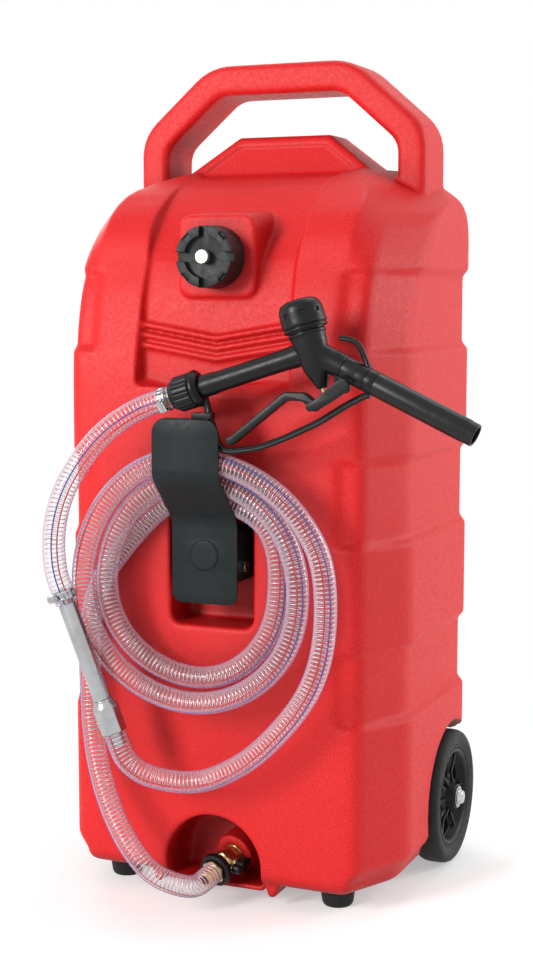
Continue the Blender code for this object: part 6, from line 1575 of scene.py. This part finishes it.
def make_spout():
    """The spout with its slimmer necks, and the ring on it that carries the hook."""
    place = nozzle_frame(SPOUT_LINE)
    start, end = SPOUT_START, SPOUT_END
    profile = [
        (SPOUT_BORE, start), (0.0120, start), (0.0120, 0.0402), (0.0127, 0.0403), (0.0127, 0.0562),
        (0.0120, 0.0563), (0.0120, 0.0782), (0.0127, 0.0783), (0.0127, end - 0.010),
        (0.0122, end - 0.0094), (0.0122, end - 0.0012), (0.0116, end), (0.0102, end),
        (SPOUT_BORE, end - 0.0006),
    ]
    turned("spout_tube", "tank", "nozzle_spout", profile, place, SPOUT_PLASTIC, 64, 0.0003, True)
    low, high = HOOK_START, HOOK_START + RING_LENGTH
    profile = sleeve(RING_BORE, RING_RADIUS, low, high)
    clip = lathe("hook_ring", profile, place, BLACK_PLASTIC, 64, 0.0001, True)
    path = rounded(nozzle_path(HOOK_SHARES), 0.016, 7, False)
    tip = at(path[-1].x, NOZZLE_MIDDLE.y, path[-1].y)
    tools = adds(strip("hook_strip", path, 0.0056, 0.0056, 0.0010))
    tools += adds(bar("hook_tip", tip, Y_AXIS * 0.0028, 0.0028, 24))
    tools += cuts(lathe("hook_way", plug(RING_BORE, low - 0.002, high + 0.002), place, None, 64))
    worked(clip, "tank", "spout_hook", tools, 0.0003)


def make_guard():
    """Collar, lug over the bracket's top, grooved bar under the trigger and ring on the spout."""
    start, end = COLLAR_START, COLLAR_START + COLLAR_LENGTH
    profile = [
        (COLLAR_BORE, start), (COLLAR_BORE, end), (0.0188, end), (0.0205, end - 0.0015),
        (0.0205, start + 0.0040), (0.0190, start + 0.0028), (0.0165, start + 0.0010), (0.0150, start),
    ]
    place, spout = nozzle_frame(GRIP_LINE), nozzle_frame(SPOUT_LINE)
    guard = lathe("guard_collar", profile, place, BLACK_PLASTIC, 72, 0.0006, True)
    path = nozzle_path(GUARD_SHARES)
    knee, base, y = path[-2][0], BRACKET_TOP + CLEARANCE, NOZZLE_MIDDLE.y
    outline = [(knee - 0.020, base), (knee + 0.0035, base)]
    outline += [(x, base + 0.006) for x, _ in reversed(outline)]
    low = HOOK_START + RING_LENGTH + 0.0005
    high = low + RING_LENGTH
    tools = adds(strip("guard_strip", rounded(path, 0.010, 6, False), 0.0070, 0.0074, 0.0009))
    tools += adds(slab("guard_lug", outline, y - 0.012, y, 0.0006))
    tools += cuts(lathe("collar_way", plug(COLLAR_BORE, start - 0.002, end + 0.002), place, None, 64))
    tools += adds(lathe("guard_ring", plug(RING_RADIUS, low, high), spout, None, 64))
    tools += cuts(lathe("guard_ring_way", plug(RING_BORE, low - 0.002, high + 0.002), spout, None, 64))
    worked(guard, "tank", "trigger_guard", tools, 0.0003)


def make_trigger():
    """The lever, a rounded bar with a pointed tip, a hump and an engraved pad, and its pin."""
    half = TRIGGER_WIDTH / 2
    place = Matrix.Translation(PIVOT)
    path = [(TRIGGER_THICK / 2, 0)] + [(NOZZLE_SPAN * x, NOZZLE_SPAN * z) for x, z in TRIGGER_SHARES]
    outline = rounded(bar_outline(path, [TRIGGER_THICK] * len(path)), 0.0042, 5)
    lever = slab("trigger_lever", outline, -half, half, 0.0016, BLACK_PLASTIC, place)
    tools = cuts(bar("lever_hole", PIVOT, Y_AXIS * (half + 0.002), 0.0025))
    outline = rounded(bar_outline([(-0.0330, -0.0212), (-0.0205, -0.0172)], [0.0074] * 2), 0.002)
    tools += adds(slab("lever_bridge", outline, -0.0170, -half + 0.001, 0.0006, None, place))
    path = [(-0.0335, -0.0207), (-0.0240, -0.0180), (-0.0125, -0.0102), (0.0002, -0.0012), (0.0120, 0.0076)]
    outline = rounded(bar_outline(path, [0.0074, 0.0104, 0.0132, 0.0146, 0.0146]), 0.0070, 6)
    tools += adds(slab("lever_pad", outline, -0.0196, -0.0164, 0.0010, None, place))
    slope = Matrix.Rotation(-atan2(0.0090, 0.0118), 4, "Y")
    tilted = Matrix.Translation(PIVOT + at(-0.0018, -0.0196, -0.0004)) @ slope
    for number in range(4):
        drop = 0.0021 * number
        low, high = (-0.0100, -0.001, 0.0029 - drop), (0.0110, 0.0005, 0.0036 - drop)
        tools += cuts(block("engraved", low, high, tilted))
    worked(lever, "trigger_lever", "trigger", tools)
    pin = bar("lever_pin", PIVOT, Y_AXIS * (half + CLEARANCE + LUG_THICK), 0.0022, 32, 0.0003, ZINC)
    dress(pin, "tank", "trigger_pin")


def make_nozzle_nut():
    """The ribbed nut at the grip's end and the barbed tail in it."""
    end = NUT_LENGTH
    profile = [
        (COLLAR_BORE, 0), (0.0183, 0), (NUT_RADIUS, 0.0012), (NUT_RADIUS, end - 0.0070),
        (0.0186, end - 0.0060), (0.0160, end - 0.0030), (0.0152, end), (COLLAR_BORE, end),
    ]
    nut = profile, nozzle_frame(GRIP_LINE, NUT_START), BLACK_PLASTIC, 144, 0.0008, True
    turned("hose_nut", "tank", "nozzle_nut", *nut, ribs(18, 0.0011, 0.0176))
    start = GRIP_LENGTH + CLEARANCE
    end = NUT_START + NUT_LENGTH + CLEARANCE + TAIL_INSERT
    profile = [(BORE, start), (0.0080, start), (0.0080, end - 0.002), (0.0072, end), (BORE, end)]
    tail = profile, nozzle_frame(GRIP_LINE), BRASS, 48, 0.0003, True
    turned("hose_tail_tube", "tank", "nozzle_tail", *tail)


def make_spring():
    """The spring over the nozzle's valve disc."""
    low, high, thick, reach = -0.0114, 0.0255, 0.0007, 0.00615
    place = Matrix.Translation(OFFSET) @ nozzle_frame(TOWER_LINE)
    points = []
    last = SPRING_TURNS * SPRING_STEPS
    for i in range(last + 1):
        angle = 2 * pi * i / SPRING_STEPS
        points.append(place @ at(reach * cos(angle), reach * sin(angle), low + (high - low) * i / last))
    spring = wire("valve_spring", points, thick, ZINC, 8)
    dress(spring, "tank", "poppet_spring")
    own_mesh(spring)


# Fittings on the hose


def make_clamp(name, node, point, line):
    """A worm clamp: a slotted band and a housing with its screw."""
    inner, half = HOSE_RADIUS + 0.0001, 0.0045
    place = place_along(line, point, Y_AXIS)
    outer = inner + 0.0010
    profile = [(inner, -half), (inner, half), (outer - 0.0002, half), (outer, half - 0.0004)]
    profile += [(outer, -half + 0.0004), (outer - 0.0002, -half)]
    band = lathe(name, profile, place, CHROME, 96, 0.0, True)
    low, high = (outer - 0.0004, -0.0005, -0.0026), (outer + 0.001, 0.0005, 0.0026)
    turns = [spun(place, radians(-30 - 9 * i)) for i in range(26)]
    tools = cuts(*[block("thread", low, high, turn) for turn in turns])
    seat = spun(place, radians(150))
    low, high = (outer - 0.0008, -0.0060, -0.0042), (outer + 0.0046, 0.0060, 0.0042)
    tools += adds(block(name + "_housing", low, high, seat))
    worked(band, "tank", node, tools, 0.0003)
    seat = seat @ Matrix.Translation(X_AXIS * (outer + 0.0022)) @ Matrix.Rotation(pi / 2, 4, "X")
    profile = [(0, -0.0075), (0.0030, -0.0075), (0.0034, -0.0070), (0.0034, 0.0058), (0, 0.0058)]
    lathe(name + "_screw", profile, seat, ZINC, 24, 0.0002, False, hexagon(0.0034)).parent = band


def make_tube():
    """Bright tube between the hoses and the six-sided ferrule at its lower end."""
    length = (INLINE_HIGH - INLINE_LOW).length
    place = place_along(INLINE, INLINE_LOW)
    start, end, tip = 0.0403, length - CLEARANCE, length + TAIL_INSERT
    profile = [(BORE, start), (0.0102, start), (0.0102, end), (0.0080, end), (0.0080, tip), (BORE, tip)]
    turned("bright_tube", "tank", "inline_tube", profile, place, ALUMINIUM, 64, 0.0004, True)
    profile = [
        (BORE, -TAIL_INSERT), (0.0080, -TAIL_INSERT), (0.0080, CLEARANCE), (0.0136, CLEARANCE),
        (0.0145, 0.0014), (0.0145, 0.0285), (0.0139, 0.0318), (0.0122, 0.0352), (0.0110, 0.0372),
        (0.0108, 0.0400), (BORE, 0.0400),
    ]
    ferrule = profile, place, ALUMINIUM, 120, 0.0006, True, hexagon(0.0152, 0.0012, 0.0290)
    turned("hex_ferrule", "tank", "tube_coupling", *ferrule)


make_camera()
make_stage()
make_lights()
LONG_ROUTE, LEAD = hose_routes()
make_tank()
make_hose("hose_long", LONG_ROUTE, ("hose_tail", "hose_coil", "hose_return"))
make_hose("hose_short", LEAD, ("hose_lead",))
make_cap()
make_bracket()
make_screws()
make_valve()
make_axle()
for side, word in ((-1, "left"), (1, "right")):
    make_wheel(side, word)
    make_foot(side, word)
make_nozzle_body()
make_nozzle_cap()
make_spout()
make_guard()
make_trigger()
make_nozzle_nut()
make_spring()
make_tube()
make_clamp("lower_band", "clamp_lead", INLINE_HIGH + INLINE * 0.010, INLINE)
make_clamp("upper_band", "clamp_nozzle", HOSE_END + GRIP_LINE * 0.010, GRIP_LINE)
paint_node("nozzle_poppet", BRASS)

bpy.context.scene.view_settings.view_transform = "Standard"
